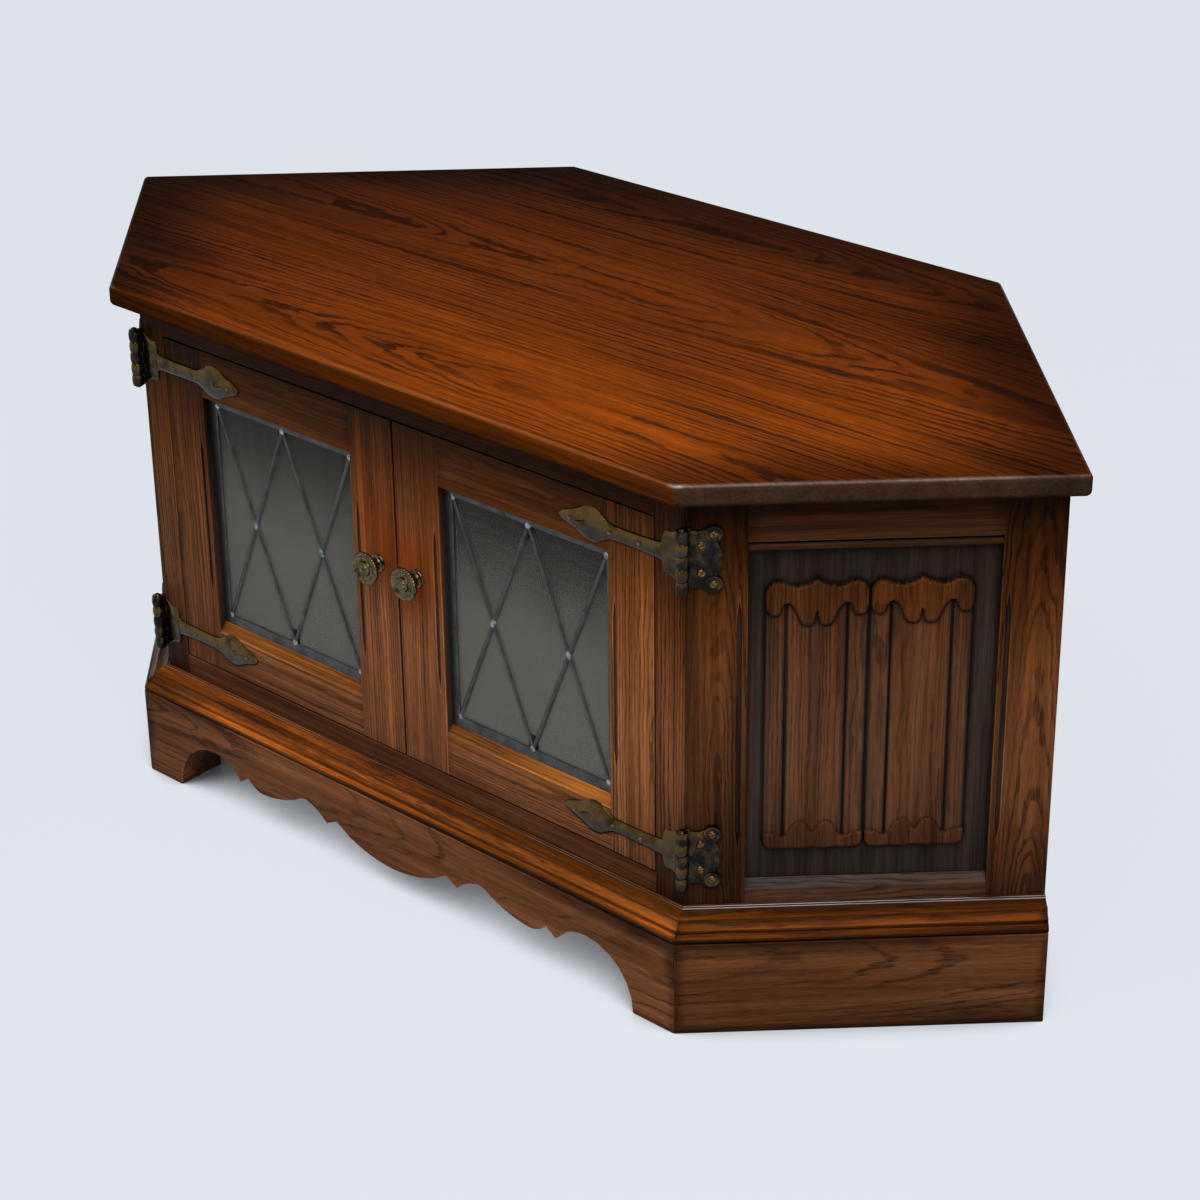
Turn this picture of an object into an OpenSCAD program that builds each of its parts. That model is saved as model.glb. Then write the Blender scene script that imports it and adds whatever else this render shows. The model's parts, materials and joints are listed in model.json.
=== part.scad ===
// Corner television cabinet in oak: a six-sided carcass that stands in the corner of a room,
// with two leaded glass doors on strap hinges, linenfold side panels and a shaped plinth.
// Millimetres, Z up, X along the front, Y towards the corner of the room, floor at Z = 0.

/* [Overall] */
// Width of the front between its two corners
front_w = 660; // [600:1:720]
// Length of each canted side
side_len = 300; // [280:1:330]
// Length of each edge that goes against a wall
wall_len = 403; // [370:1:430]
// Height of the top surface above the floor
height = 500; // [480:1:540]

/* [Top] */
// Thickness of the top board
top_t = 19.5; // [16:0.5:24]
// Overhang of the top over the front and the canted sides
top_over = 24.5; // [18:0.5:32]
// Overhang of the top over the wall edges and the back
top_back_over = 12; // [4:0.5:14]
// Radius worked along the top board's edges
top_round = 5; // [2:0.5:8]
// Radius of the top board's two side corners
top_corner_r = 5; // [4:0.5:14]

/* [Frames] */
// Thickness of the stiles and rails of the carcass
frame_t = 20; // [18:0.5:24]
// Width of the two stiles beside the doors
face_stile_w = 31; // [26:0.5:36]
// Height of the rail over the doors
face_top_h = 26; // [20:0.5:32]
// Height of the rail that shows under the doors
face_bottom_h = 19; // [16:0.5:26]
// Width of the stiles of the side frames
side_stile_w = 50; // [44:0.5:56]
// Height of the top rail of the side frames, with its bead
side_top_h = 50; // [42:0.5:58]
// Height that shows of the bottom rail of the side frames, up to its sloped edge
side_bottom_h = 13; // [10:0.5:20]
// Slope worked on the side frame's bottom rail, as deep as it is high
side_slope = 7; // [5:0.5:8]
// Depth of the bead's quirk in the side frame's top rail
bead_quirk = 2; // [1:0.5:3]
// Diameter of the bead under the side frame's top rail
bead_d = 7; // [5:0.5:8]
// Length of the tenons
tenon_l = 18; // [12:1:24]
// Thickness of the tenons
tenon_t = 8; // [6:0.5:8.5]
// Distance of the tenons behind the face
tenon_in = 6; // [5:0.5:6]
// Shoulder over and under a tenon
shoulder = 5; // [3:0.5:6]

/* [Stopped grooves] */
// Width of the stopped grooves in the stiles
groove_w = 4; // [3:0.5:5]
// Depth of the stopped grooves
groove_deep = 1.8; // [1:0.1:2.5]
// Distance of a stopped groove from the edge of the opening
groove_in = 6.5; // [5:0.5:8]
// Distance from the ends of the opening to the point of a stopped groove
groove_stop = 42; // [30:1:60]
// Length of the pointed end of a stopped groove
groove_point = 14; // [8:1:20]

/* [Side panels] */
// Thickness of the panel behind its carving
panel_t = 6; // [5:0.5:6]
// Distance of the panel's ground behind the face of its frame
panel_sink = 8; // [7:0.5:9]
// Depth of the groove that holds the panel
panel_groove = 8; // [6:0.5:10]
// Width of one carved fold
fold_w = 82; // [74:0.5:86]
// Distance from the bottom rail's slope to the bottom of the carving
fold_foot = 28; // [20:0.5:40]
// Width between the two carved folds
fold_gap = 1.5; // [1:0.5:4]
// Height of the carving above the ground of the panel
fold_rise = 6; // [4:0.5:6.5]
// Distance from the opening's top edge to the top of the carving
fold_drop = 26; // [20:0.5:34]

/* [Doors] */
// Gap round each door
door_gap = 1.5; // [1.5:0.1:2.5]
// Gap between the two doors
meet_gap = 2.5; // [2.5:0.1:4]
// Thickness of the doors
door_t = 20; // [18:0.5:20]
// Width of the stile that the hinges hold
hinge_stile_w = 49; // [44:0.5:56]
// Width of the stile with the knob
meet_stile_w = 53; // [48:0.5:58]
// Height of the door's top rail
door_top_h = 45; // [40:0.5:52]
// Height of the door's bottom rail on its face
door_bottom_h = 40; // [34:0.5:48]
// Rise of the slope on the bottom rail's top edge
sill_rise = 9; // [5:0.5:11]
// Thickness of the door's lip in front of the leaded light
lip_t = 7.5; // [6:0.5:8]
// Width of the rebate that holds the leaded light
rebate_w = 7; // [6:0.5:8]

/* [Leaded lights] */
// Thickness of the glass
glass_t = 3; // [2.5:0.5:4]
// Width of the lead round the edge
lead_edge_w = 15; // [12:0.5:17]
// Width of the crossing leads
lead_bar_w = 5; // [4:0.5:7]
// Thickness of each flange of the lead
lead_leaf = 1.4; // [1:0.1:1.5]
// Thickness of the lead's core between two panes
lead_core = 1.6; // [1.2:0.1:2.5]
// Radius of a soldered joint
solder_r = 4.2; // [3:0.1:5]
// Width of the beads that hold the leaded light
glazing_w = 6.5; // [5:0.5:7.5]

/* [Base] */
// Height of the plinth boards
plinth_h = 87; // [80:0.5:95]
// Thickness of the plinth boards, which stand on the face of the carcass
plinth_t = 25; // [22:0.5:28]
// Height of the moulding on the plinth
moulding_h = 23.5; // [22:0.5:26]
// Height of the carcass's underside above the floor
foot_h = 62; // [58:0.5:66]
// Width of each foot of the plinth's front
foot_w = 36; // [30:0.5:42]
// Radius of the arch beside each foot
arch_r = 54; // [48:0.5:58]
// Thickness of the floor board
floor_t = 16; // [12:0.5:18]
// Thickness of the rails under the back of the floor
base_rail_t = 18; // [15:0.5:22]
// Length of the legs of the blocks in the corners
block_leg = 34; // [26:0.5:34]
// Thickness of the blocks in the corners
block_t = 26; // [20:0.5:30]

/* [Back] */
// Thickness of the back panels
ply_t = 6; // [4:0.5:9]
// Depth of the back stile's solid edge beside the back panel
ply_lap = 10; // [8:0.5:12]
// Height of the back panels above the floor
ply_foot = 20; // [10:1:40]
// Length of each face of the posts in the back corners
post_face = 30; // [24:0.5:40]
// Thickness of the posts in the back corners
post_t = 18; // [14:0.5:24]
// Diameter of the cable hole
cable_d = 60; // [40:1:80]
// Height of the middle of the cable hole
cable_z = 210; // [180:1:240]

/* [Hinges] */
// Length of the hinge barrel
barrel_l = 54; // [50:0.5:60]
// Largest radius of a knuckle
knuckle_r = 5.6; // [5:0.1:6]
// Radius of the hinge pin
pin_r = 1.8; // [1.5:0.1:2.2]
// Thickness of the strap and the plate at their edges
leaf_t = 1.3; // [1:0.1:1.6]
// Rise of the ridge along the middle of the strap
ridge_rise = 1.9; // [1:0.1:2.1]
// Length of the strap from the pin to its tip
strap_l = 136; // [130:0.5:142]
// Half the width of the strap's head
head_half = 15.5; // [12:0.5:17]
// Half the width of the strap's neck
neck_half = 6.6; // [5.5:0.1:8]
// Distance of the hinge's middle from the end of the door
hinge_in = 26; // [25:0.5:34]
// Distance from the side's front edge to the outer screws of the plate
plate_reach = 22.5; // [20:0.5:25]
// Radius of the plate's ears
ear_r = 7.5; // [6.5:0.1:8]
// Thickness of the plate
plate_t = 2.2; // [1.6:0.1:2.6]

/* [Fittings] */
// Radius of the knob's rim
knob_r = 15.5; // [13:0.5:18]
// Distance of the knob's rim in front of the door
knob_out = 18; // [16:0.5:22]
// Height of the knobs above the floor
knob_z = 313; // [280:1:340]
// Distance of each knob from the middle of the cabinet
knob_x = 24; // [22:0.5:30]
// Distance of the knob's button in front of its rim
button_out = 2.2; // [1:0.1:3]
// Radius of the knob's spindle
spindle_r = 2.2; // [1.8:0.1:3]
// Length of the knob's spindle in the door
spindle_l = 12; // [8:0.5:15]
// Radius of the screws' shanks
screw_r = 1.4; // [1:0.1:1.6]
// Radius of the screws' heads
screw_head_r = 3; // [2.5:0.1:3.5]
// Radius of the nails' shanks
nail_r = 0.9; // [0.7:0.1:1.2]
// Radius of the nails' heads
nail_head_r = 1.9; // [1.5:0.1:2.3]
// Length of the screws in the wood
screw_l = 10; // [8:0.5:12]
// Length of the nails in the wood
nail_l = 5; // [3:0.5:5]
// Width of the magnetic catch
catch_w = 44; // [40:1:50]
// Height of the magnetic catch
catch_h = 16; // [14:0.5:20]
// Depth of the magnetic catch
catch_deep = 15; // [12:0.5:18]

/* [Hidden] */
$fn = 48;

// Angle by which each canted side turns back from the front, half of the corner of a room
cant = 45;
LEFT = -1;
RIGHT = 1;
// Clearances: between pieces that slide together, round a shank in its bore, and in front of
// a face that something turns past
snug = 0.2;
bore_clear = 0.05;
face_clear = 0.3;
// Overrun of a cut, and a length beyond every edge
past = 1;
long = 2000;
// Sag of a quarter round, as a share of its radius
quarter = 0.2929;

// Plan of the carcass, anticlockwise from the front left corner
half_w = front_w / 2;
side_dir = [cos(cant), sin(cant)];
wall_dir = [-cos(cant), sin(cant)];
corner_side = [half_w, 0] + side_len * side_dir;
corner_back = corner_side + wall_len * wall_dir;
plan = [
    [-half_w, 0], [half_w, 0], corner_side, corner_back,
    [-corner_back.x, corner_back.y], [-corner_side.x, corner_side.y]
];

// Heights and depths that follow from the sizes above
top_under = height - top_t;
body_z = plinth_h + moulding_h;
open_z0 = body_z + face_bottom_h;
open_z1 = top_under - face_top_h;
open_x = half_w - face_stile_w;
mitre = frame_t * tan(cant / 2);
front_reach = max(plinth_t, top_over, knob_out + button_out);
depth_mid = (corner_back.y + top_back_over - front_reach) / 2;

// Side frame: opening for the carved panel
side_open_u0 = side_stile_w;
side_open_u1 = side_len - side_stile_w;
side_open_z0 = body_z + side_bottom_h;
side_open_z1 = top_under - side_top_h;
side_sill_z = side_open_z0 + side_slope;
fold_z0 = side_sill_z + fold_foot;
fold_z1 = side_open_z1 - fold_drop;

// Door, as the right one stands in the front plane
door_x0 = meet_gap / 2;
door_x1 = open_x - door_gap;
door_z0 = open_z0 + door_gap;
door_z1 = open_z1 - door_gap;
light_x0 = door_x0 + meet_stile_w;
light_x1 = door_x1 - hinge_stile_w;
light_z0 = door_z0 + door_bottom_h;
light_z1 = door_z1 - door_top_h;
sill_z = light_z0 + sill_rise;
lead_out = rebate_w - 1;
unit_t = glass_t + 2 * lead_leaf;

// Inner edges of the lead round the leaded light, its middle, and the glass cut back at a joint
lead_l = light_x0 - lead_out + lead_edge_w;
lead_r = light_x1 + lead_out - lead_edge_w;
lead_b = sill_z - lead_out + lead_edge_w;
lead_t = light_z1 + lead_out - lead_edge_w;
lead_m = (lead_l + lead_r) / 2;
lead_mz = (lead_b + lead_t) / 2;
joint_notch = [12, 27];

// Heights of the tenons, as [lower end, upper end]
face_tenon_top = [open_z1 + shoulder, top_under - shoulder];
face_tenon_bottom = [foot_h + 2 * shoulder, open_z0 - 2 * shoulder];
side_tenon_top = [side_open_z1 + panel_groove + shoulder, top_under - 2 * shoulder];
side_tenon_bottom = [foot_h + 2 * shoulder, side_sill_z - panel_groove - shoulder];
door_tenon_top = [light_z1 + rebate_w + shoulder, door_z1 - shoulder];
door_tenon_bottom = [door_z0 + 2 * shoulder, light_z0 - 2 * shoulder];

// Magnetic catch behind the door tops: its face, and the strikes it holds
strike_t = 1;
strike_h = 10;
strike_in = 3;
catch_y = door_t + strike_t + snug;
catch_slot = 2;

// Hinges: the barrel stands clear of both faces at the front corner
pivot_out = knuckle_r + face_clear;
pivot_x = half_w + pivot_out * tan(cant / 2);
pivot_u = -pivot_out * tan(cant / 2);
hinge_z = [door_z1 - hinge_in, door_z0 + hinge_in];
KNUCKLES = 5;
knuckle_l = barrel_l / KNUCKLES;
knuckle_bulge = 0.8;
leaf_start = knuckle_r + 0.5;
nail_s = [strap_l - 13, 79.5, 48.4];
ear_z = (barrel_l - 11) / 2;
ear_dome = 0.8;
// Screws that hold a hinge plate, as [along the side, height from the hinge's middle]
plate_screws = [[plate_reach, ear_z], [plate_reach, -ear_z], [13, 12], [13, -12]];
// Cap of a hinge pin, as [radius at its foot, radius at its top, height]
pin_cap = [3.6, 2.2, 1.8];
screw_head_h = 1.5;
nail_head_h = 1.2;

// Inner faces that the floor, the posts and the base rails meet
inner = grown([-frame_t, -frame_t, -ply_t, -ply_t]);

// Lower edge of the plinth front from its arch to the middle, as
// [share of the way from the foot to the middle, height, sag of the stretch to the next]
apron_foot = half_w - foot_w;
apron_keys = [
    [0.303, 36, 0], [0.344, 44, 3], [0.415, 34, 2.2], [0.568, 46, -1], [0.616, 52, -2.5],
    [0.711, 37.5, 0], [0.759, 44.5, 0], [0.816, 34.5, 2.7], [1, 23.5, 0]
];

// Carved fold, as [across, height, sag] from its left edge to its middle, with the heights
// from the top or the bottom of the carving
fold_half = fold_w / 2;
fold_vein = fold_half - 16.5;
fold_top = [
    [-fold_half, -12, 3], [-fold_half + 12, -2.5, 1], [-fold_half + 24, -6.5, -0.8], [0, 0, 0]
];
fold_bottom = [
    [-fold_half, 7, -2.5], [-fold_half + 11, 0.5, 0], [-10, 0, -0.6], [0, 1.5, 0]
];
hem_top = [
    [-fold_half, -31.5, 0], [-fold_half + 11, -31.5, -2], [-fold_vein, -22, 1.5],
    [-fold_vein + 7, -27, 0.5], [-10, -39, -2], [-3, -39, -0.5], [0, -28.5, 0]
];
hem_bottom = [
    [-fold_half, 15, 0.6], [-fold_half + 11, 15, -1], [-fold_vein + 2, 13, -1.5],
    [-9, 26, 2.5], [-3.5, 17, -0.5], [0, 17.5, 0]
];
// Section of the fold from its edge to its middle, as [across, rise, sag]
fold_section = [
    [-fold_half, 0, 0.8], [-fold_half + 3.5, 3.4, 0.6], [-fold_half + 12, 3.6, 0.6],
    [-fold_vein - 0.6, 0.8, 0], [-fold_vein + 0.6, 0.8, 0.9], [-fold_vein + 6, 4.9, 0.5],
    [-4, 5.2, 0.3], [0, 4.3, 0]
];
// Step of the lower hem below the upper one
hem_step = 1;

// Points of an arc from p to q that bulges to the left of the way by sag, without p
function arc_to(p, q, sag, n = 6) =
    sag == 0 ? [q] :
    let (
        way = q - p,
        half = norm(way) / 2,
        left = [-way.y, way.x] / norm(way),
        r = (half * half + sag * sag) / (2 * abs(sag)),
        turn = asin(half / r),
        s = sign(sag)
    )
    [for (i = [1:n]) let (a = turn * (2 * i / n - 1))
        (p + q) / 2 + way / norm(way) * r * sin(a) + left * s * (abs(sag) - r + r * cos(a))];

// Outline through keys of [x, y, sag of the stretch to the next key]
function outline(keys) = [
    for (i = [0:len(keys) - 2])
        each concat(
            i == 0 ? [[keys[0].x, keys[0].y]] : [],
            arc_to([keys[i].x, keys[i].y], [keys[i + 1].x, keys[i + 1].y], keys[i].z))
];

// Plan polygon with its edges moved outwards by o = [front, side, wall, back]
function edge_list(o) = [o[0], o[1], o[2], o[3], o[2], o[1]];
function out_normal(i) =
    let (d = plan[(i + 1) % 6] - plan[i])
    [d.y, -d.x] / norm(d);
function grown(o) =
    let (e = edge_list(o))
    [for (i = [0:5])
        let (a = out_normal((i + 5) % 6), b = out_normal(i), p = e[(i + 5) % 6], q = e[i])
        plan[i] + [p * b.y - q * a.y, q * a.x - p * b.x] / (a.x * b.y - a.y * b.x)];

module placed() {
    translate([0, -depth_mid, 0]) children();
}

// Mirrors what is drawn for the right half to the left
module sided(s) {
    if (s == RIGHT) children();
    if (s == LEFT) mirror([1, 0, 0]) children();
}

// X along the right canted side from the front corner, Y into the cabinet
module on_side() {
    translate([half_w, 0, 0]) rotate([0, 0, cant]) children();
}

// X along the right wall edge from the side corner, Y into the cabinet
module on_wall() {
    translate([corner_side.x, corner_side.y, 0]) rotate([0, 0, 90 + cant]) children();
}

// Box between two opposite corners
module board(a, b) {
    translate(a) cube(b - a);
}

// Section given as [depth, height], run along X from x0 to x1
module run_x(x0, x1, section) {
    translate([x0, 0, 0])
        rotate([90, 0, 90])
        linear_extrude(x1 - x0)
        polygon(section);
}

// Outline given as [x, z], from depth y0 to depth y1
module upright(y0, y1) {
    translate([0, y1, 0]) rotate([90, 0, 0]) linear_extrude(y1 - y0) children();
}

// Round bore or peg that runs into the wood from the face
module peg(x, z, r, y0, y1) {
    translate([x, y1, z]) rotate([90, 0, 0]) cylinder(r = r, h = y1 - y0);
}

// Stopped groove with pointed ends, along a stile from z0 to z1
module stopped_groove(x, z0, z1) {
    h = groove_w / 2;
    upright(-past, groove_deep)
        polygon([
            [x, z0], [x + h, z0 + groove_point], [x + h, z1 - groove_point],
            [x, z1], [x - h, z1 - groove_point], [x - h, z0 + groove_point]
        ]);
}

// Tenons at both ends of a rail from x0 to x1, at heights t, and a mortise that takes one
module tenons(x0, x1, t) {
    board(
        [x0 - tenon_l + snug, tenon_in, t[0]], [x1 + tenon_l - snug, tenon_in + tenon_t, t[1]]
    );
}
module mortise(x0, x1, t) {
    gap = snug / 2;
    board(
        [x0 - snug, tenon_in - gap, t[0] - snug],
        [x1 + snug, tenon_in + tenon_t + gap, t[1] + snug]
    );
}

// Rounded edge of the top board over edge i of the plan
module top_edge(i) {
    way = plan[(i + 1) % 6] - plan[i];
    over = edge_list([top_over, top_over, top_back_over, top_back_over])[i];
    translate([plan[i].x, plan[i].y, 0])
        rotate([0, 0, atan2(way.y, way.x)])
        run_x(-long, long, outline([
            [long, top_under, 0], [top_round - over, top_under, -quarter * top_round],
            [-over, top_under + top_round, 0], [-over, height - top_round, -quarter * top_round],
            [top_round - over, height, 0], [long, height, 0], [long, top_under, 0]
        ]));
}

// Everything inside the rounding of the top board's side corners
module corner_rounding() {
    at = grown([top_over, top_over, top_back_over, top_back_over])[2];
    before = at - side_dir * top_corner_r;
    after = at + wall_dir * top_corner_r;
    right = outline([
        [before.x + past, -long, 0], [before.x + past, before.y - past, 0],
        [before.x, before.y, -quarter * top_corner_r], [after.x, after.y, 0],
        [after.x + past, after.y + past, 0], [after.x + past, long, 0]
    ]);
    linear_extrude(height + past)
        polygon(concat(right, [for (i = [len(right) - 1:-1:0]) [-right[i].x, right[i].y]]));
}

module top_board() {
    color("saddlebrown")
        placed()
        intersection() {
            intersection_for(i = [0:5]) top_edge(i);
            corner_rounding();
        }
}

module face_stile(s) {
    color("sienna")
        placed()
        sided(s)
        difference() {
            translate([0, 0, foot_h])
                linear_extrude(top_under - foot_h)
                polygon([
                    [open_x, 0], [half_w, 0], [half_w - mitre, frame_t], [open_x, frame_t]
                ]);
            for (t = [face_tenon_top, face_tenon_bottom]) mortise(open_x, open_x + tenon_l, t);
        }
}

module face_rail(z0, z1, tenon_z) {
    color("sienna")
        placed() {
            board([-open_x, 0, z0], [open_x, frame_t, z1]);
            tenons(-open_x, open_x, tenon_z);
        }
}

module side_front_stile(s) {
    color("sienna")
        placed()
        sided(s)
        on_side()
        difference() {
            translate([0, 0, foot_h])
                linear_extrude(top_under - foot_h)
                polygon([[0, 0], [side_stile_w, 0], [side_stile_w, frame_t], [mitre, frame_t]]);
            side_grooves(side_stile_w - panel_groove, side_stile_w + past);
            side_mortises(side_stile_w - tenon_l, side_stile_w + past);
            stopped_groove(
                side_stile_w - groove_in, side_open_z0 + groove_stop, side_open_z1 - groove_stop
            );
            for (z = hinge_z)
                for (p = plate_screws)
                    peg(p.x, z + p.y, screw_r + bore_clear, -past, screw_l + snug);
        }
}

module side_back_stile(s) {
    edge = side_open_u1;
    color("sienna")
        placed()
        sided(s)
        on_side()
        difference() {
            board([edge, 0, foot_h], [side_len, frame_t, top_under]);
            board([side_len - ply_t - snug, ply_lap, 0], [side_len + past, frame_t + past, height]);
            side_grooves(edge - past, edge + panel_groove);
            side_mortises(edge - past, edge + tenon_l);
            stopped_groove(
                edge + groove_in, side_open_z0 + groove_stop, side_open_z1 - groove_stop
            );
        }
}

// Groove for the carved panel, cut into a side stile between u0 and u1
module side_grooves(u0, u1) {
    board(
        [u0, panel_sink - snug / 2, side_sill_z - panel_groove],
        [u1, panel_sink + panel_t + snug / 2, side_open_z1 + panel_groove]
    );
}

// Mortises for the tenons of both side rails, between u0 and u1
module side_mortises(u0, u1) {
    for (t = [side_tenon_top, side_tenon_bottom]) mortise(u0, u1, t);
}

module side_top_rail(s) {
    z = side_open_z1;
    r = bead_d / 2;
    core = r + 0.3;
    groove_back = panel_sink + panel_t + snug / 2;
    color("sienna")
        placed()
        sided(s)
        on_side() {
            run_x(side_open_u0, side_open_u1, outline([
                [0, top_under, 0], [0, z + bead_d + bead_quirk, 0],
                [core, z + bead_d + bead_quirk, 0], [core, z + bead_d, -r],
                [core, z, 0], [panel_sink - snug / 2, z, 0],
                [panel_sink - snug / 2, z + panel_groove, 0], [groove_back, z + panel_groove, 0],
                [groove_back, z, 0], [frame_t, z, 0], [frame_t, top_under, 0], [0, top_under, 0]
            ]));
            tenons(side_open_u0, side_open_u1, side_tenon_top);
        }
}

module side_bottom_rail(s) {
    z = side_sill_z;
    groove_back = panel_sink + panel_t + snug / 2;
    color("sienna")
        placed()
        sided(s)
        on_side() {
            run_x(side_open_u0, side_open_u1, [
                [0, foot_h], [0, side_open_z0], [side_slope, z], [panel_sink - snug / 2, z],
                [panel_sink - snug / 2, z - panel_groove], [groove_back, z - panel_groove],
                [groove_back, z], [frame_t, z], [frame_t, foot_h]
            ]);
            tenons(side_open_u0, side_open_u1, side_tenon_bottom);
        }
}

// Outline through keys of the left half, and its mirror image
function both_halves(keys) =
    let (p = outline(keys))
    concat(p, [for (i = [len(p) - 2:-1:0]) [-p[i].x, p[i].y]]);
function lifted(points, z) = [for (p = points) [p.x, p.y + z]];
function reversed(points) = [for (i = [len(points) - 1:-1:0]) points[i]];

// One fold round the upright through X = 0, with a hem at both ends
module fold() {
    top = lifted(both_halves(fold_top), fold_z1);
    bottom = lifted(both_halves(fold_bottom), fold_z0);
    section = both_halves(fold_section);
    front = panel_sink - fold_rise;
    intersection() {
        upright(front, panel_sink + past) polygon(concat(top, reversed(bottom)));
        translate([0, 0, fold_z0 - past])
            linear_extrude(fold_z1 - fold_z0 + 2 * past)
            polygon(concat(
                [for (p = section) [p.x, panel_sink - p.y]],
                [[fold_half, panel_sink + past], [-fold_half, panel_sink + past]]
            ));
    }
    upright(front, panel_sink + past / 2)
        polygon(concat(top, reversed(lifted(both_halves(hem_top), fold_z1))));
    upright(front + hem_step, panel_sink + past / 2)
        polygon(concat(lifted(both_halves(hem_bottom), fold_z0), reversed(bottom)));
}

module linenfold_panel(s) {
    edge = panel_groove - 0.5;
    middle = side_len / 2;
    color("peru")
        placed()
        sided(s)
        on_side() {
            board(
                [side_open_u0 - edge, panel_sink, side_sill_z - edge],
                [side_open_u1 + edge, panel_sink + panel_t, side_open_z1 + edge]
            );
            for (way = [-1, 1])
                translate([middle + way * (fold_w + fold_gap) / 2, 0, 0]) fold();
        }
}

module back_panel_wall(s) {
    color("burlywood")
        placed()
        sided(s)
        translate([0, 0, ply_foot])
        linear_extrude(top_under - ply_foot)
        polygon([
            corner_side + wall_dir * (ply_lap + snug), corner_back,
            [inner[3].x, inner[3].y], corner_side + wall_dir * (ply_lap + snug) - side_dir * ply_t
        ]);
}

module back_panel_centre() {
    y = corner_back.y;
    gap = snug / 2;
    color("burlywood")
        placed()
        difference() {
            translate([0, 0, ply_foot])
                linear_extrude(top_under - ply_foot)
                polygon([
                    [-corner_back.x + gap, y], [-inner[3].x + gap, inner[3].y],
                    [inner[3].x - gap, inner[3].y], [corner_back.x - gap, y]
                ]);
            peg(0, cable_z, cable_d / 2, y - ply_t - past, y + past);
        }
}

module back_post(s) {
    p = inner[3];
    a = p - wall_dir * post_face;
    color("tan")
        placed()
        sided(s)
        translate([0, 0, open_z0])
        linear_extrude(top_under - open_z0)
        polygon([
            p, p - [post_face, 0], p - [post_face, post_t], a - side_dir * post_t, a
        ]);
}

module floor_board() {
    color("sienna")
        placed()
        translate([0, 0, open_z0 - floor_t])
        linear_extrude(floor_t)
        polygon(inner);
}

// Lower edge of the plinth front, from its left foot to its right one
function apron_edge() = both_halves(concat(
    [[-apron_foot, 0, quarter * arch_r], [arch_r - apron_foot, arch_r, 4.8]],
    [for (k = apron_keys) [(k.x - 1) * apron_foot, k.y, -k.z]]
));

module plinth_front() {
    far = long / 2;
    color("sienna")
        placed()
        intersection() {
            upright(-plinth_t, 0)
                polygon(concat(
                    [[-far, 0]], apron_edge(), [[far, 0], [far, plinth_h], [-far, plinth_h]]
                ));
            linear_extrude(plinth_h) polygon(plinth_plan());
        }
}

// Plan of a board that stands plinth_t proud of the front, mitred at both corners
function plinth_plan() =
    let (m = plinth_t * tan(cant / 2))
    [[-half_w, 0], [-half_w - m, -plinth_t], [half_w + m, -plinth_t], [half_w, 0]];

// Plan of a board that stands proud of the canted side, mitred at the front only
function side_proud_plan() =
    let (m = plinth_t * tan(cant / 2))
    [[0, 0], [-m, -plinth_t], [side_len, -plinth_t], [side_len, 0]];

module plinth_side(s) {
    color("sienna")
        placed()
        sided(s)
        on_side()
        linear_extrude(plinth_h)
        polygon(side_proud_plan());
}

// Section of the base moulding as [depth, height], from its foot up to the face of the carcass
module moulding(x0, x1) {
    out = plinth_t;
    h = moulding_h;
    translate([0, 0, plinth_h])
        run_x(x0, x1, outline([
            [0, 0, 0], [1.8 - out, 0, 0], [1.8 - out, 1, 0], [0.4 - out, 1.6, 0.6],
            [2.1 - out, 6.2, 0.3], [3.4 - out, 7.6, 0], [4.8 - out, 7.6, 0],
            [4.8 - out, 10.4, 0.2], [5.8 - out, 11.4, 0], [6.4 - out, 11.8, -1],
            [-14.6, h - 6.3, 0.5], [-12.8, h - 4.7, 0], [-12, h - 4.7, -0.8],
            [-4.6, h - 1.9, 0], [-4.6, h - 1.1, 0], [-3, h - 0.9, 0], [-3, h, 0], [0, h, 0],
            [0, 0, 0]
        ]));
}

module base_moulding_front() {
    color("sienna")
        placed()
        intersection() {
            moulding(-long / 2, long / 2);
            linear_extrude(height) polygon(plinth_plan());
        }
}

module base_moulding_side(s) {
    color("sienna")
        placed()
        sided(s)
        on_side()
        intersection() {
            moulding(-long / 2, side_len);
            linear_extrude(height) polygon(side_proud_plan());
        }
}

module base_rails() {
    back = grown([-frame_t, -frame_t, -ply_t - base_rail_t, -ply_t - base_rail_t]);
    gap = snug / 2;
    color("tan")
        placed()
        linear_extrude(open_z0 - floor_t) {
            polygon([
                [-inner[3].x + gap, inner[3].y], [-back[3].x + gap, back[3].y],
                [back[3].x - gap, back[3].y], [inner[3].x - gap, inner[3].y]
            ]);
            for (s = [LEFT, RIGHT])
                sided(s)
                polygon([
                    inner[2], [inner[3].x, inner[3].y], [back[3].x, back[3].y], back[2]
                ]);
        }
}

module glue_blocks() {
    a = grown([-frame_t, -frame_t, -frame_t, -frame_t])[1];
    color("tan")
        placed() {
            for (s = [LEFT, RIGHT])
                sided(s) {
                    corner_block([half_w, 0], 0, foot_h);
                    corner_block(a, open_z1 + door_gap, top_under);
                    on_side()
                        board([side_len - ply_t - block_leg, 0, 0],
                              [side_len - ply_t, frame_t, foot_h]);
                }
            board([-catch_w, frame_t, open_z1 - snug], [catch_w, frame_t + post_t, top_under]);
        }
}

// Block in a front corner, from its arris along both faces
module corner_block(at, z0, z1) {
    along = side_dir * block_leg;
    in = [-side_dir.y, side_dir.x] * block_t;
    translate([at.x, at.y, z0])
        linear_extrude(z1 - z0)
        polygon([[0, 0], along, along + in, [-block_leg, block_t], [-block_leg, 0]]);
}

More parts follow.
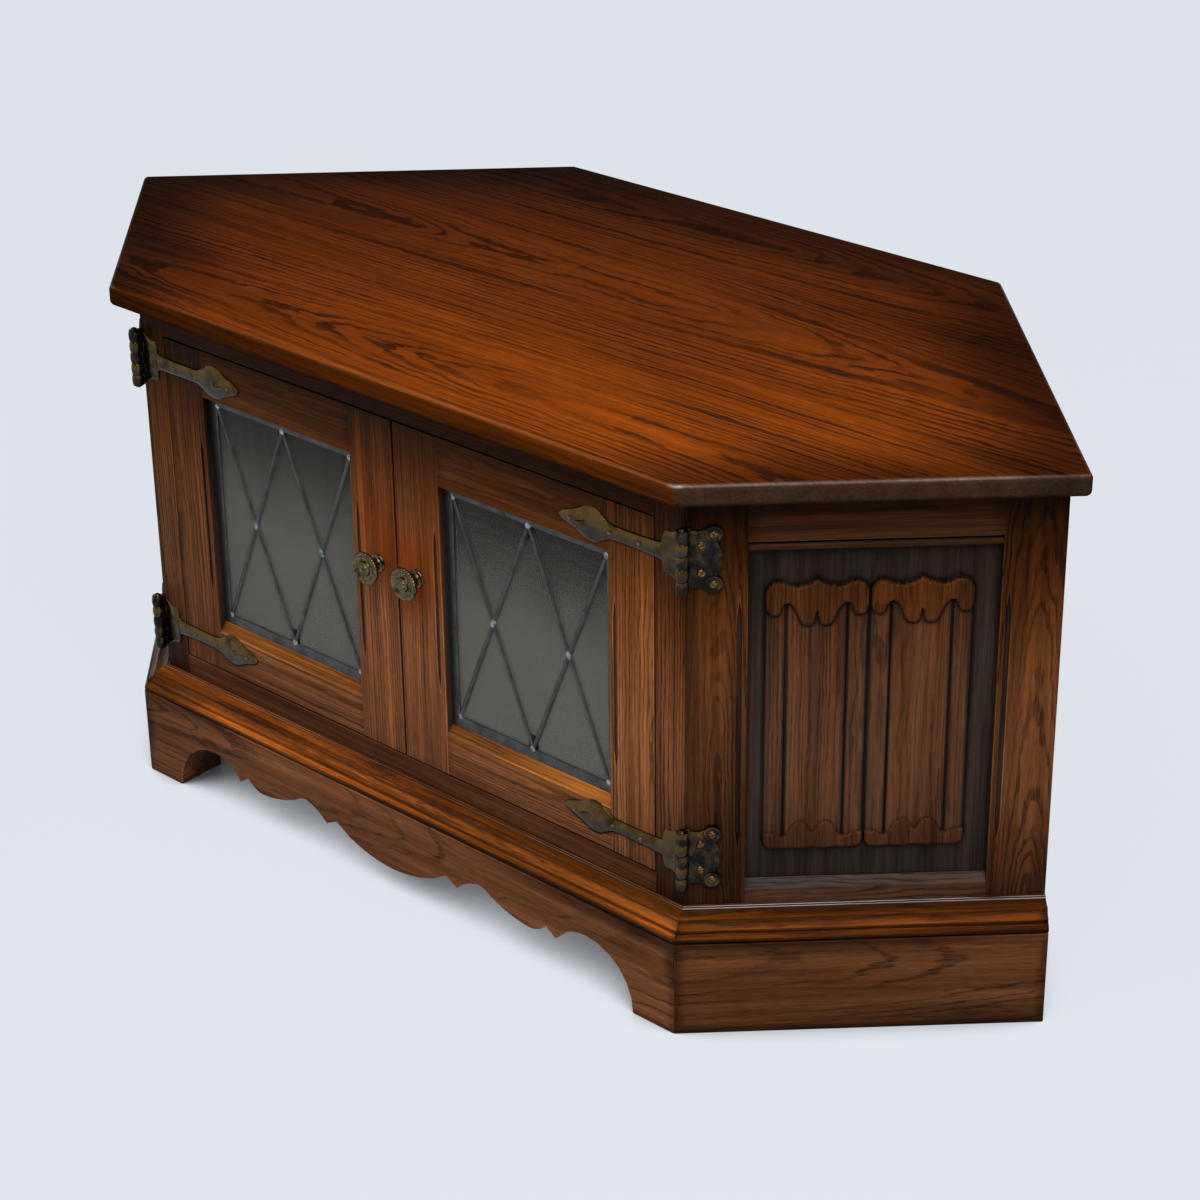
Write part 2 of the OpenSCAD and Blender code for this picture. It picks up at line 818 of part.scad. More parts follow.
// Magnetic catch behind the meeting line, with a face for each door's strike
module magnet_catch() {
    half = catch_w / 2;
    z0 = open_z1 - catch_h;
    color("white")
        placed()
        difference() {
            board([-half, catch_y, z0], [half, catch_y + catch_deep, open_z1 - snug]);
            board(
                [-catch_slot / 2, catch_y - past, z0 - past],
                [catch_slot / 2, catch_y + 2 * catch_slot, open_z1]
            );
        }
}

module catch_strike(s) {
    color("silver")
        placed()
        sided(s)
        board(
            [door_x0 + strike_in, door_t, door_z1 - strike_in - strike_h],
            [catch_w / 2 - catch_slot, door_t + strike_t, door_z1 - strike_in]
        );
}

// Knuckle number k of a hinge barrel, round the pin at the origin
module knuckle(k) {
    z = -barrel_l / 2 + k * knuckle_l + snug / 2;
    l = knuckle_l - snug;
    end_r = knuckle_r - knuckle_bulge;
    translate([0, 0, z])
        rotate_extrude()
        polygon(outline([
            [pin_r + bore_clear, 0, 0], [end_r, 0, -knuckle_bulge], [end_r, l, 0],
            [pin_r + bore_clear, l, 0], [pin_r + bore_clear, 0, 0]
        ]));
}

// Bore for the pin through a leaf
module pin_bore() {
    cylinder(r = pin_r + bore_clear, h = 2 * barrel_l, center = true);
}

// Tongue of a leaf that runs to knuckle k, from the face outwards
module tongue(k, thick) {
    z = -barrel_l / 2 + k * knuckle_l + snug / 2;
    board([0, 0, z], [leaf_start + past, thick, z + knuckle_l - snug]);
}

// Plate on the canted side, outline as [along the side, height]
module plate_outline() {
    half = barrel_l / 2 - 2;
    upper = outline([
        [leaf_start + pivot_u, half, 0], [leaf_start + pivot_u + 5, half - 0.5, -1],
        [plate_reach - ear_r + 1, ear_z + ear_r - 3, 0], [plate_reach, ear_z, 0],
        [plate_reach + 4, 11, 1.6], [plate_reach + 5.5, 0, 0]
    ]);
    polygon(concat(upper, [for (i = [len(upper) - 2:-1:0]) [upper[i].x, -upper[i].y]]));
    for (z = [-ear_z, ear_z]) translate([plate_reach, z]) circle(r = ear_r);
}

// Hinge plate at height z, with knuckles 0, 2 and 4
module hinge_plate(s, z) {
    color("darkolivegreen")
        placed()
        sided(s)
        on_side()
        translate([0, 0, z])
        difference() {
            union() {
                upright(-plate_t, 0) plate_outline();
                for (ear = [-ear_z, ear_z])
                    peg(plate_reach, ear, ear_r - 2 * ear_dome, -plate_t - ear_dome, 0);
                for (k = [0, 2, 4]) {
                    translate([pivot_u, -pivot_out, 0]) knuckle(k);
                    translate([pivot_u, -plate_t, 0]) tongue(k, plate_t);
                }
            }
            translate([pivot_u, -pivot_out, 0]) pin_bore();
            for (p = plate_screws) peg(p.x, p.y, screw_r + bore_clear, -past - 2 * plate_t, past);
        }
}

module hinge_pins() {
    color("darkolivegreen")
        placed()
        for (s = [LEFT, RIGHT])
            for (z = hinge_z)
                sided(s)
                translate([pivot_x, -pivot_out, z]) {
                    cylinder(r = pin_r, h = barrel_l, center = true);
                    for (end = [0, 180])
                        rotate([end, 0, 0])
                        translate([0, 0, barrel_l / 2])
                        cylinder(r1 = pin_cap[0], r2 = pin_cap[1], h = pin_cap[2]);
                }
}

// Screw or nail that goes into the wood at x, z from a seat that stands out from the face
module fixing(x, z, seat, head_r, head_h, shank_r, deep) {
    translate([x, -seat, z])
        rotate([90, 0, 0])
        cylinder(r1 = head_r, r2 = head_r * 0.55, h = head_h);
    peg(x, z, shank_r, -seat - head_h / 2, deep);
}

module hinge_screws() {
    color("darkgoldenrod")
        placed()
        for (s = [LEFT, RIGHT])
            for (z = hinge_z)
                for (p = plate_screws)
                    sided(s)
                    on_side()
                    fixing(
                        p.x, z + p.y, abs(p.y) == ear_z ? plate_t + ear_dome : plate_t,
                        screw_head_r, screw_head_h, screw_r, screw_l
                    );
}

// Strap outline from its tip to the barrel, as [distance from the pin, height]
module strap_outline() {
    upper = outline([
        [-strap_l, 0, -0.9], [-strap_l + 13, 8, 1], [-strap_l + 33, head_half, 1.8],
        [-strap_l + 47, head_half - 4, -0.9], [-strap_l + 57, neck_half, 0],
        [-26, neck_half + 0.8, 0], [-24, neck_half + 2, 0], [-23, 14, 0], [-19.5, 18.5, -0.4],
        [-12, 20.5, -0.6], [-leaf_start, barrel_l / 2 - 2, 0]
    ]);
    polygon(concat(upper, [for (i = [len(upper) - 1:-1:1]) [upper[i].x, -upper[i].y]]));
    for (z = [-15.5, 15.5]) translate([-21, z]) circle(r = 3.6);
}

// Teardrop eye pierced through the strap's head
module strap_eye() {
    at = -strap_l + 29.5;
    translate([at, 0]) circle(r = 3);
    polygon([[at - 9, 0], [at - 1.3, 2.7], [at - 1.3, -2.7]]);
}

// Strap at height z, with knuckles 1 and 3, on the face of the right door
module strap(s, z) {
    wide = barrel_l / 2;
    color("darkolivegreen")
        placed()
        sided(s)
        translate([pivot_x, 0, z])
        difference() {
            union() {
                intersection() {
                    upright(-leaf_t - ridge_rise - past, 0) strap_outline();
                    run_x(-strap_l - past, 0, [
                        [0, -wide], [-leaf_t, -wide], [-leaf_t, -head_half],
                        [-leaf_t - ridge_rise, 0], [-leaf_t, head_half], [-leaf_t, wide], [0, wide]
                    ]);
                }
                for (k = [1, 3]) {
                    translate([0, -pivot_out, 0]) knuckle(k);
                    mirror([1, 0, 0]) translate([0, -plate_t, 0]) tongue(k, plate_t);
                }
            }
            translate([0, -pivot_out, 0]) pin_bore();
            upright(-long, past) strap_eye();
            for (n = nail_s) peg(-n, 0, nail_r + bore_clear, -knuckle_r, past);
        }
}

module strap_nails(s) {
    color("darkgoldenrod")
        placed()
        sided(s)
        for (z = hinge_z)
            for (n = nail_s)
                fixing(
                    pivot_x - n, z, leaf_t + ridge_rise, nail_head_r, nail_head_h, nail_r, nail_l
                );
}

// Holes for the strap nails in the face of the door
module nail_holes() {
    for (z = hinge_z)
        for (n = nail_s) peg(pivot_x - n, z, nail_r + bore_clear, -past, nail_l + snug);
}

// Rebate behind the door's lip, which the leaded light lies in
module light_rebate() {
    board(
        [light_x0 - rebate_w, lip_t, sill_z - rebate_w],
        [light_x1 + rebate_w, door_t + past, light_z1 + rebate_w]
    );
}

// Mortises for the tenons of both door rails, between x0 and x1
module door_mortises(x0, x1) {
    for (t = [door_tenon_top, door_tenon_bottom]) mortise(x0, x1, t);
}

module hinge_stile(s) {
    color("sienna")
        placed()
        sided(s)
        difference() {
            board([light_x1, 0, door_z0], [door_x1, door_t, door_z1]);
            light_rebate();
            door_mortises(light_x1 - past, light_x1 + tenon_l);
            stopped_groove(light_x1 + groove_in, light_z0 + groove_stop, light_z1 - groove_stop);
            nail_holes();
        }
}

module meeting_stile(s) {
    color("sienna")
        placed()
        sided(s)
        difference() {
            board([door_x0, 0, door_z0], [light_x0, door_t, door_z1]);
            light_rebate();
            door_mortises(light_x0 - tenon_l, light_x0 + past);
            stopped_groove(light_x0 - groove_in, light_z0 + groove_stop, light_z1 - groove_stop);
            peg(knob_x, knob_z, spindle_r + bore_clear, -past, spindle_l + snug);
        }
}

module door_top_rail(s) {
    color("sienna")
        placed()
        sided(s)
        difference() {
            union() {
                run_x(light_x0, light_x1, [
                    [0, light_z1], [0, door_z1], [door_t, door_z1],
                    [door_t, light_z1 + rebate_w], [lip_t, light_z1 + rebate_w],
                    [lip_t, light_z1]
                ]);
                tenons(light_x0, light_x1, door_tenon_top);
            }
            nail_holes();
        }
}

module door_bottom_rail(s) {
    color("sienna")
        placed()
        sided(s)
        difference() {
            union() {
                run_x(light_x0, light_x1, [
                    [0, door_z0], [0, light_z0], [lip_t, sill_z], [lip_t, sill_z - rebate_w],
                    [door_t, sill_z - rebate_w], [door_t, door_z0]
                ]);
                tenons(light_x0, light_x1, door_tenon_bottom);
            }
            nail_holes();
        }
}

// Leaded light as [x, z]: its outer rectangle, drawn in by a distance
module light_rect(inset) {
    a = [light_x0 - lead_out + inset, sill_z - lead_out + inset];
    b = [light_x1 + lead_out - inset, light_z1 + lead_out - inset];
    translate(a) square(b - a);
}

// Bar of width w from a to b, longer by extra at both ends
module bar(a, b, w, extra) {
    translate(a)
        rotate(atan2(b.y - a.y, b.x - a.x))
        translate([-extra, -w / 2])
        square([norm(b - a) + 2 * extra, w]);
}

// Two crosses side by side, which meet in the middle of the top and bottom
module lead_bars(w, extra) {
    for (x = [lead_l, lead_r]) {
        bar([x, lead_b], [lead_m, lead_t], w, extra);
        bar([x, lead_t], [lead_m, lead_b], w, extra);
    }
}

module glass_panes(s) {
    color("gray", 0.4)
        placed()
        sided(s)
        upright(lip_t + lead_leaf, lip_t + lead_leaf + glass_t)
        difference() {
            light_rect(lead_core * 2 + snug);
            lead_bars(lead_core + snug, lead_edge_w * 2);
            for (z = [lead_b, lead_t])
                translate([lead_m, z]) square(joint_notch, center = true);
        }
}

module lead(s) {
    edge_core = lead_core * 2;
    solder = concat(
        [for (x = [lead_l, lead_m, lead_r]) for (z = [lead_b, lead_t]) [x, z]],
        [for (x = [(lead_l + lead_m) / 2, (lead_m + lead_r) / 2]) [x, lead_mz]]
    );
    color("slategray")
        placed()
        sided(s) {
            for (y = [lip_t, lip_t + lead_leaf + glass_t])
                upright(y, y + lead_leaf) {
                    difference() {
                        light_rect(0);
                        light_rect(lead_edge_w);
                    }
                    lead_bars(lead_bar_w, 2);
                }
            upright(lip_t, lip_t + unit_t)
                difference() {
                    light_rect(0);
                    light_rect(edge_core);
                }
            upright(lip_t + lead_leaf / 2, lip_t + unit_t - lead_leaf / 2)
                intersection() {
                    light_rect(edge_core / 2);
                    lead_bars(lead_core, lead_edge_w * 2);
                }
            for (p = solder) peg(p.x, p.y, solder_r, lip_t - 0.7, lip_t + lead_leaf / 2);
        }
}

module glazing_beads(s) {
    gap = (rebate_w - glazing_w) / 2;
    x0 = light_x0 - rebate_w + gap;
    x1 = light_x1 + rebate_w - gap;
    z0 = sill_z - rebate_w + gap;
    z1 = light_z1 + rebate_w - gap;
    w = glazing_w;
    color("sienna")
        placed()
        sided(s)
        upright(lip_t + unit_t, door_t - snug) {
            for (x = [x0, x1 - w]) translate([x, z0]) square([w, z1 - z0]);
            for (z = [z0, z1 - w]) translate([x0 + w + snug, z]) square([x1 - x0 - 2 * (w + snug), w]);
        }
}

// Turned knob, its section as [radius, distance from the door]
module knob(s) {
    rim = knob_out;
    color("darkolivegreen")
        placed()
        sided(s)
        translate([knob_x, 0, knob_z])
        rotate([90, 0, 0])
        rotate_extrude()
        polygon(outline([
            [0, -spindle_l, 0], [spindle_r, -spindle_l, 0], [spindle_r, 0, 0], [8, 0, 0.3],
            [7, 1.8, -1.6], [5.2, 6, -1.4], [7, 10, 0], [11.5, 12, 0.6],
            [knob_r - 0.6, rim - 4, 0.7], [knob_r - 0.4, rim - 1.2, 0.6],
            [knob_r - 2.4, rim, -0.5], [knob_r - 5.2, rim - 2.6, -0.8],
            [6.4, rim - 1.8, 0.7], [4, rim + 1.3, 0.3], [0, rim + button_out, 0],
            [0, -spindle_l, 0]
        ]));
}

top_board();
face_stile(LEFT);  // face_stile_left
face_stile(RIGHT);  // face_stile_right
face_rail(open_z1, top_under, face_tenon_top);  // face_top_rail
face_rail(foot_h, open_z0, face_tenon_bottom);  // face_bottom_rail
side_front_stile(LEFT);  // side_front_stile_left
side_front_stile(RIGHT);  // side_front_stile_right
side_back_stile(LEFT);  // side_back_stile_left
side_back_stile(RIGHT);  // side_back_stile_right
side_top_rail(LEFT);  // side_top_rail_left
side_top_rail(RIGHT);  // side_top_rail_right
side_bottom_rail(LEFT);  // side_bottom_rail_left
side_bottom_rail(RIGHT);  // side_bottom_rail_right
linenfold_panel(LEFT);  // linenfold_panel_left
linenfold_panel(RIGHT);  // linenfold_panel_right
back_panel_wall(LEFT);  // back_panel_left
back_panel_wall(RIGHT);  // back_panel_right
back_panel_centre();
back_post(LEFT);  // back_post_left
back_post(RIGHT);  // back_post_right
floor_board();
plinth_front();
plinth_side(LEFT);  // plinth_left
plinth_side(RIGHT);  // plinth_right
base_rails();
glue_blocks();
base_moulding_front();
base_moulding_side(LEFT);  // base_moulding_left
base_moulding_side(RIGHT);  // base_moulding_right
magnet_catch();
hinge_plate(LEFT, hinge_z[0]);  // hinge_plate_upper_left
hinge_plate(LEFT, hinge_z[1]);  // hinge_plate_lower_left
hinge_plate(RIGHT, hinge_z[0]);  // hinge_plate_upper_right
hinge_plate(RIGHT, hinge_z[1]);  // hinge_plate_lower_right
hinge_pins();
hinge_screws();
hinge_stile(LEFT);  // left_door_hinge_stile
meeting_stile(LEFT);  // left_door_meeting_stile
door_top_rail(LEFT);  // left_door_top_rail
door_bottom_rail(LEFT);  // left_door_bottom_rail
glass_panes(LEFT);  // left_door_glass
lead(LEFT);  // left_door_lead
glazing_beads(LEFT);  // left_door_glazing_beads
knob(LEFT);  // left_door_knob
strap(LEFT, hinge_z[0]);  // left_strap_upper
strap(LEFT, hinge_z[1]);  // left_strap_lower
strap_nails(LEFT);  // left_strap_nails
catch_strike(LEFT);  // left_catch_strike
hinge_stile(RIGHT);  // right_door_hinge_stile
meeting_stile(RIGHT);  // right_door_meeting_stile
door_top_rail(RIGHT);  // right_door_top_rail
door_bottom_rail(RIGHT);  // right_door_bottom_rail
glass_panes(RIGHT);  // right_door_glass
lead(RIGHT);  // right_door_lead
glazing_beads(RIGHT);  // right_door_glazing_beads
knob(RIGHT);  // right_door_knob
strap(RIGHT, hinge_z[0]);  // right_strap_upper
strap(RIGHT, hinge_z[1]);  // right_strap_lower
strap_nails(RIGHT);  // right_strap_nails
catch_strike(RIGHT);  // right_catch_strike
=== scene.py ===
import json
import math
import random

import bmesh
import bpy
import numpy as np
from bpy.props import FloatProperty, FloatVectorProperty, IntProperty, PointerProperty
from mathutils import Matrix, Vector


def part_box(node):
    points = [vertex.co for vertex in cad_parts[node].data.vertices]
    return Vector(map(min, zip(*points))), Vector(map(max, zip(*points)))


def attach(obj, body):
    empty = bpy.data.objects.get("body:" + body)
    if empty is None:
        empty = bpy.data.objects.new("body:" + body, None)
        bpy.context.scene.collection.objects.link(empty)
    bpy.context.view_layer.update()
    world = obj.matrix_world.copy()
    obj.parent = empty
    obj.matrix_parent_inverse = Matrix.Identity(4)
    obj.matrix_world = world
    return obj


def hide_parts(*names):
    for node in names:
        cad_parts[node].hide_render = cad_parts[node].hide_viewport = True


bl_info = {
    "name": "Corner Television Cabinet",
    "version": (1, 0, 0),
    "blender": (4, 5, 0),
    "location": "3D View > Sidebar > Cabinet",
    "description": "Dresses the corner cabinet's frame with oak, bronze, lead and glass",
    "category": "Object",
}

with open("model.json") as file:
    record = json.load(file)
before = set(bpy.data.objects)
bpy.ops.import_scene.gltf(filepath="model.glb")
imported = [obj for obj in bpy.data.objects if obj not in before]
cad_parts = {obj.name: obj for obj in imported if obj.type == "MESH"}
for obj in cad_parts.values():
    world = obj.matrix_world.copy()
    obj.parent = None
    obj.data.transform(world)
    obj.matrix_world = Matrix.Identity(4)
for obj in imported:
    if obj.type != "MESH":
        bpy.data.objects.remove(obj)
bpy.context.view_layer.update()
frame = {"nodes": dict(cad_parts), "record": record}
NODES = frame["nodes"]
BODY_OF = {
    n: b for b, members in frame["record"]["behaviour"]["bodies"].items() for n in members
}
SIDES = ("left", "right")
MM = 0.001
# Points nearer than these are one point, in a CAD mesh and in a turned one, and edges shorter
# than the last are slivers, in metres
WELD, TURNED_WELD, SLIVER = 2e-6, 1e-6, 3e-6

# Places that the frame gives
HALF_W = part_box("face_stile_right")[1].x
FRONT_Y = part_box("face_top_rail")[0].y
SIDE_END_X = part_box("side_back_stile_right")[1].x
BACK_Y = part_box("back_panel_centre")[1].y

# Directions of the cabinet's faces, for its right half
X = Vector((1, 0, 0))
Y = Vector((0, 1, 0))
Z = Vector((0, 0, 1))
ALONG_SIDE = Vector((1, 1, 0)).normalized()
INTO_SIDE = Vector((-1, 1, 0)).normalized()
ALONG_WALL = Vector((-1, 1, 0)).normalized()
INTO_WALL = Vector((-1, -1, 0)).normalized()
DIAGONAL = ALONG_SIDE.x

# Axes of a board, as [along it, across it, into it from its face]
AXES = {
    "front_up": (Z, X, Y),
    "front_across": (X, Z, Y),
    "side_up": (Z, ALONG_SIDE, INTO_SIDE),
    "side_across": (ALONG_SIDE, Z, INTO_SIDE),
    "flat": (X, Y, -Z),
    "wall_up": (Z, ALONG_WALL, INTO_WALL),
    "back_up": (Z, X, -Y),
}

# Sizes that the frame's pieces share, all in mm. Length of the tenons
TENON = 18
# Carved panel: its ground and its back behind its frame, and its folds' rise, width and gap,
# and how far they stay from its top and its foot
PANEL_SINK, PANEL_BACK, FOLD_RISE, FOLD_W, FOLD_GAP = 8, 14, 6, 82, 1.5
FOLD_DROP, FOLD_FOOT_Z = 33.5, 35.5
# Leaded lights: width of the came round the edge, its leaves and its whole thickness, its core,
# how soft its arris is, how far the crossing leads run on, and how far the solder stands out
LEAD_EDGE, LEAD_LEAF, LEAD_UNIT, LEAD_CORE, LEAD_SOFT = 15, 1.4, 5.8, 3.2, 1.1
LEAD_LAP, SOLDER_PROUD = 3, 0.7
# Hinges: their barrels, and the pin's line for the right door
BARREL_L, KNUCKLES, KNUCKLE_R, PIN_R, PLATE_T, SNUG, TONGUE_W = 54, 5, 5.6, 1.85, 2.2, 0.2, 7
PIVOT_OUT = KNUCKLE_R + 0.3
PIVOT = Vector((HALF_W + PIVOT_OUT * MM * math.tan(math.pi / 8), FRONT_Y - PIVOT_OUT * MM, 0))
LEVELS = ("upper", "lower")
# Straps: the thickness of their leaf and of its rim, and their nails' distances from the pin
LEAF_T, LEAF_RIM, NAILS = 1.3, 0.4, (123, 79.5, 48.4)
# Hearts of the top's boards, as [across, depth] in mm and tilt
TOP_HEARTS = ((-203, 46, -0.05), (32, 46, 0.045), (205, 38, 0.04))
# Rounding of the top's edges, and of its corners in turn as [number, width], in mm
TOP_ROUND = 4.8
TOP_CORNERS = ((0, 3), (5, 3), (1, 5.2), (4, 5.2), (2, 3), (3, 3))
# Screws of a hinge plate, as [along the side, height from its middle, seat out of the face]
PLATE_SCREWS = ((22.5, 21.5, 3), (22.5, -21.5, 3), (13, 12, 2.2), (13, -12, 2.2))

# Tints of the oak's finish: stains and painted shade in its sunk hollows, where hands go, towards
# the top, and where it is burnished and darkened as painted light falls off; then the top's plain
# edges, its arrises, worn and with a painted highlight, and the painted glint at its front corners
SUNK_STAIN_AND_SHADE_TINT = (0.046, 0.043, 0.038, 1)
HANDLED_TINT, HANDLED_Z = (0.24, 0.05, 0.006, 1), 0.335
HEAD_TINT = (1.04, 0.86, 0.5, 1)
BURNISHED_AND_SHADED_TINT = (0.07, 0.026, 0.009, 1)
FRONT_EDGE_TINT, CANTED_EDGE_TINT = (0.078, 0.023, 0.004, 1), (0.062, 0.034, 0.021, 1)
FRONT_ARRIS_WEAR_AND_HIGHLIGHT, CANTED_ARRIS_PAINTED_HIGHLIGHT = (0.52, 0.15, 0.035, 1), (0.30, 0.20, 0.16, 1)
CORNER_PAINTED_GLINT = (0.9, 0.74, 0.62, 1)
# Growth rings: how often dry and wet years change, per metre, and by how many rings
YEAR_NOISE, YEAR_SHIFT = 70.0, 2.2
# Share of the staining that lone pores take, and how dark painted shade along a carved line is
PORE_STAIN, LINE_DARK = 0.28, 0.93

# Camera: its place, the picture's right and its downward direction, and its lens in mm
CAMERA_AT = Vector((1.67899, -1.78571, 1.39635))
CAMERA_RIGHT = Vector((0.735191, 0.677757, -0.011814))
CAMERA_DOWN = Vector((0.290485, -0.330753, -0.897898))
LENS, SENSOR = 87.3, 36.0
# Lamps: azimuth and elevation in degrees, distance, and width or spread
KEY_AT, KEY_AWAY, KEY_WIDTH = (48.0, 58.0), 2.1, 1.5
FILL_AT, FILL_AWAY, FILL_SPREAD = (-40.0, 40.0), 4.0, math.radians(60)
# Floor and backdrop: half width of the floor, radius and height of the backdrop, how far the
# cabinet's painted shadow reaches on the floor, the floor's glow in that painted shadow and in
# the open, and the glow's share
FLOOR_HALF, BACKDROP_R, BACKDROP_H = 14.0, 9.0, 3.0
SHADE_REACH, SHADE_GLOW, OPEN_GLOW, GLOW_SHARE = 0.16, 0.04, 1.055, 0.9


# ---- Settings


class CabinetWood(bpy.types.PropertyGroup):
    top_colour: FloatVectorProperty(
        name="Top colour", description="Lighter wood of the top board",
        default=(0.37, 0.072, 0.0045), size=3, min=0, max=1, subtype="COLOR",
    )
    frame_colour: FloatVectorProperty(
        name="Frame colour", description="Lighter wood of the frames, doors and plinth",
        default=(0.31, 0.112, 0.039), size=3, min=0, max=1, subtype="COLOR",
    )
    grain_colour: FloatVectorProperty(
        name="Grain colour", description="Stain that lies in the open grain",
        default=(0.020, 0.0100, 0.0055), size=3, min=0, max=1, subtype="COLOR",
    )
    ease: FloatProperty(
        name="Ease", description="Width of the eased arrises of the boards",
        default=0.8 * MM, min=0, max=2 * MM, unit="LENGTH",
    )
    carving_round: FloatProperty(
        name="Carving's rounding", description="Width over which the carved edges are rounded",
        default=3 * MM, min=1 * MM, max=6 * MM, unit="LENGTH",
    )


class CabinetMetal(bpy.types.PropertyGroup):
    bronze_colour: FloatVectorProperty(
        name="Bronze colour", description="Rubbed bronze of the hinges and knobs",
        default=(0.122, 0.073, 0.021), size=3, min=0, max=1, subtype="COLOR",
    )
    brass_colour: FloatVectorProperty(
        name="Brass colour", description="Heads of the screws and nails",
        default=(0.22, 0.12, 0.045), size=3, min=0, max=1, subtype="COLOR",
    )
    lead_colour: FloatVectorProperty(
        name="Lead colour", description="Lead round and between the panes",
        default=(0.080, 0.081, 0.080), size=3, min=0, max=1, subtype="COLOR",
    )
    came_width: FloatProperty(
        name="Lead's width", description="Width of the crossing leads",
        default=4.1 * MM, min=3 * MM, max=6 * MM, unit="LENGTH",
    )
    rim_beads: IntProperty(
        name="Knob's beads", description="Number of beads round the rim of a knob",
        default=30, min=12, max=48,
    )


class CabinetStage(bpy.types.PropertyGroup):
    backdrop_colour: FloatVectorProperty(
        name="Backdrop colour", description="Pale floor and backdrop",
        default=(0.745, 0.783, 0.838), size=3, min=0, max=1, subtype="COLOR",
    )
    key_light: FloatProperty(
        name="Key light", description="Power of the large lamp at the right, in watts",
        default=24, min=0, max=200,
    )
    fill_light: FloatProperty(
        name="Fill light", description="Strength of the weaker lamp at the left",
        default=0.5, min=0, max=10,
    )
    room_light: FloatProperty(
        name="Room light", description="Strength of the dim light from all sides",
        default=0.10, min=0, max=2,
    )


# ---- Material nodes


def add(tree, kind, inputs=None, **settings):
    """Adds a shader node. A socket among the inputs is linked, and a value is set."""
    made = tree.nodes.new("ShaderNode" + kind)
    for name, value in settings.items():
        setattr(made, name, value)
    for key, value in (inputs or {}).items():
        if isinstance(value, bpy.types.NodeSocket):
            tree.links.new(value, made.inputs[key])
        else:
            made.inputs[key].default_value = value
    return made


def calc(tree, operation, *values):
    """A Math node's result."""
    return add(tree, "Math", dict(enumerate(values)), operation=operation).outputs[0]


def times(tree, first, *others):
    """The product of values."""
    for other in others:
        first = calc(tree, "MULTIPLY", first, other)
    return first


def span(tree, value, low, high, to_low=0.0, to_high=1.0, smooth=False):
    """The value carried from one span to another and held inside it."""
    return add(
        tree, "MapRange", {0: value, 1: low, 2: high, 3: to_low, 4: to_high},
        interpolation_type="SMOOTHSTEP" if smooth else "LINEAR",
    ).outputs[0]


def attribute(tree, name):
    return add(tree, "Attribute", attribute_name=name).outputs["Vector"]


def parts(tree, vector):
    return add(tree, "SeparateXYZ", {0: vector}).outputs


def noise(tree, vector, scale, detail=2.0, roughness=0.5):
    """Noise stretched by a scale for each direction, from 0 to 1."""
    stretched = add(tree, "VectorMath", {0: vector, 1: scale}, operation="MULTIPLY").outputs[0]
    return add(
        tree, "TexNoise",
        {"Vector": stretched, "Scale": 1.0, "Detail": detail, "Roughness": roughness},
    ).outputs["Fac"]


def swing(tree, vector, scale, amount):
    """Noise that swings about zero."""
    return times(tree, calc(tree, "SUBTRACT", noise(tree, vector, scale), 0.5), amount)


def uneven(tree, distance, mottle, amount):
    """A distance that the mottle of the wood makes uneven."""
    return calc(tree, "MULTIPLY_ADD", calc(tree, "SUBTRACT", mottle, 0.5), amount, distance)


def mixed(tree, share, a, b):
    return add(tree, "Mix", {0: share, 6: a, 7: b}, data_type="RGBA").outputs[2]


def scaled(tree, colour, level):
    return add(tree, "VectorMath", {0: colour, 3: level}, operation="SCALE").outputs[0]


def bumped(tree, height, strength, distance):
    return add(
        tree, "Bump", {"Strength": strength, "Distance": distance * MM, "Height": height}
    ).outputs[0]


def hollow_shade_and_dirt(tree, reach, darkest):
    """Painted shade and dirt, by ambient occlusion, in corners narrower than reach in mm."""
    open_to = add(tree, "AmbientOcclusion", {"Distance": reach * MM}, samples=6).outputs["AO"]
    return span(tree, open_to, 0.25, 0.9, darkest, 1.0)


def rgba(colour, level=1.0):
    return (*(c * level for c in colour), 1.0)


def new_material(name):
    """The node tree of a new material, and its shader."""
    old = bpy.data.materials.get(name)
    if old:
        bpy.data.materials.remove(old)
    material = bpy.data.materials.new(name)
    material.use_nodes = True
    tree = material.node_tree
    return tree, tree.nodes["Principled BSDF"]


def blend(tree, share, a, b):
    """A mixture of two shaders."""
    return add(tree, "MixShader", {0: share, 1: a.outputs[0], 2: b.outputs[0]})


def show(tree, shader):
    tree.links.new(shader.outputs[0], tree.nodes["Material Output"].inputs["Surface"])


def wired(tree, shader, **links):
    for name, socket in links.items():
        tree.links.new(socket, shader.inputs[name.replace("_", " ")])


def set_on(shader, **values):
    for name, value in values.items():
        shader.inputs[name.replace("_", " ")].default_value = value


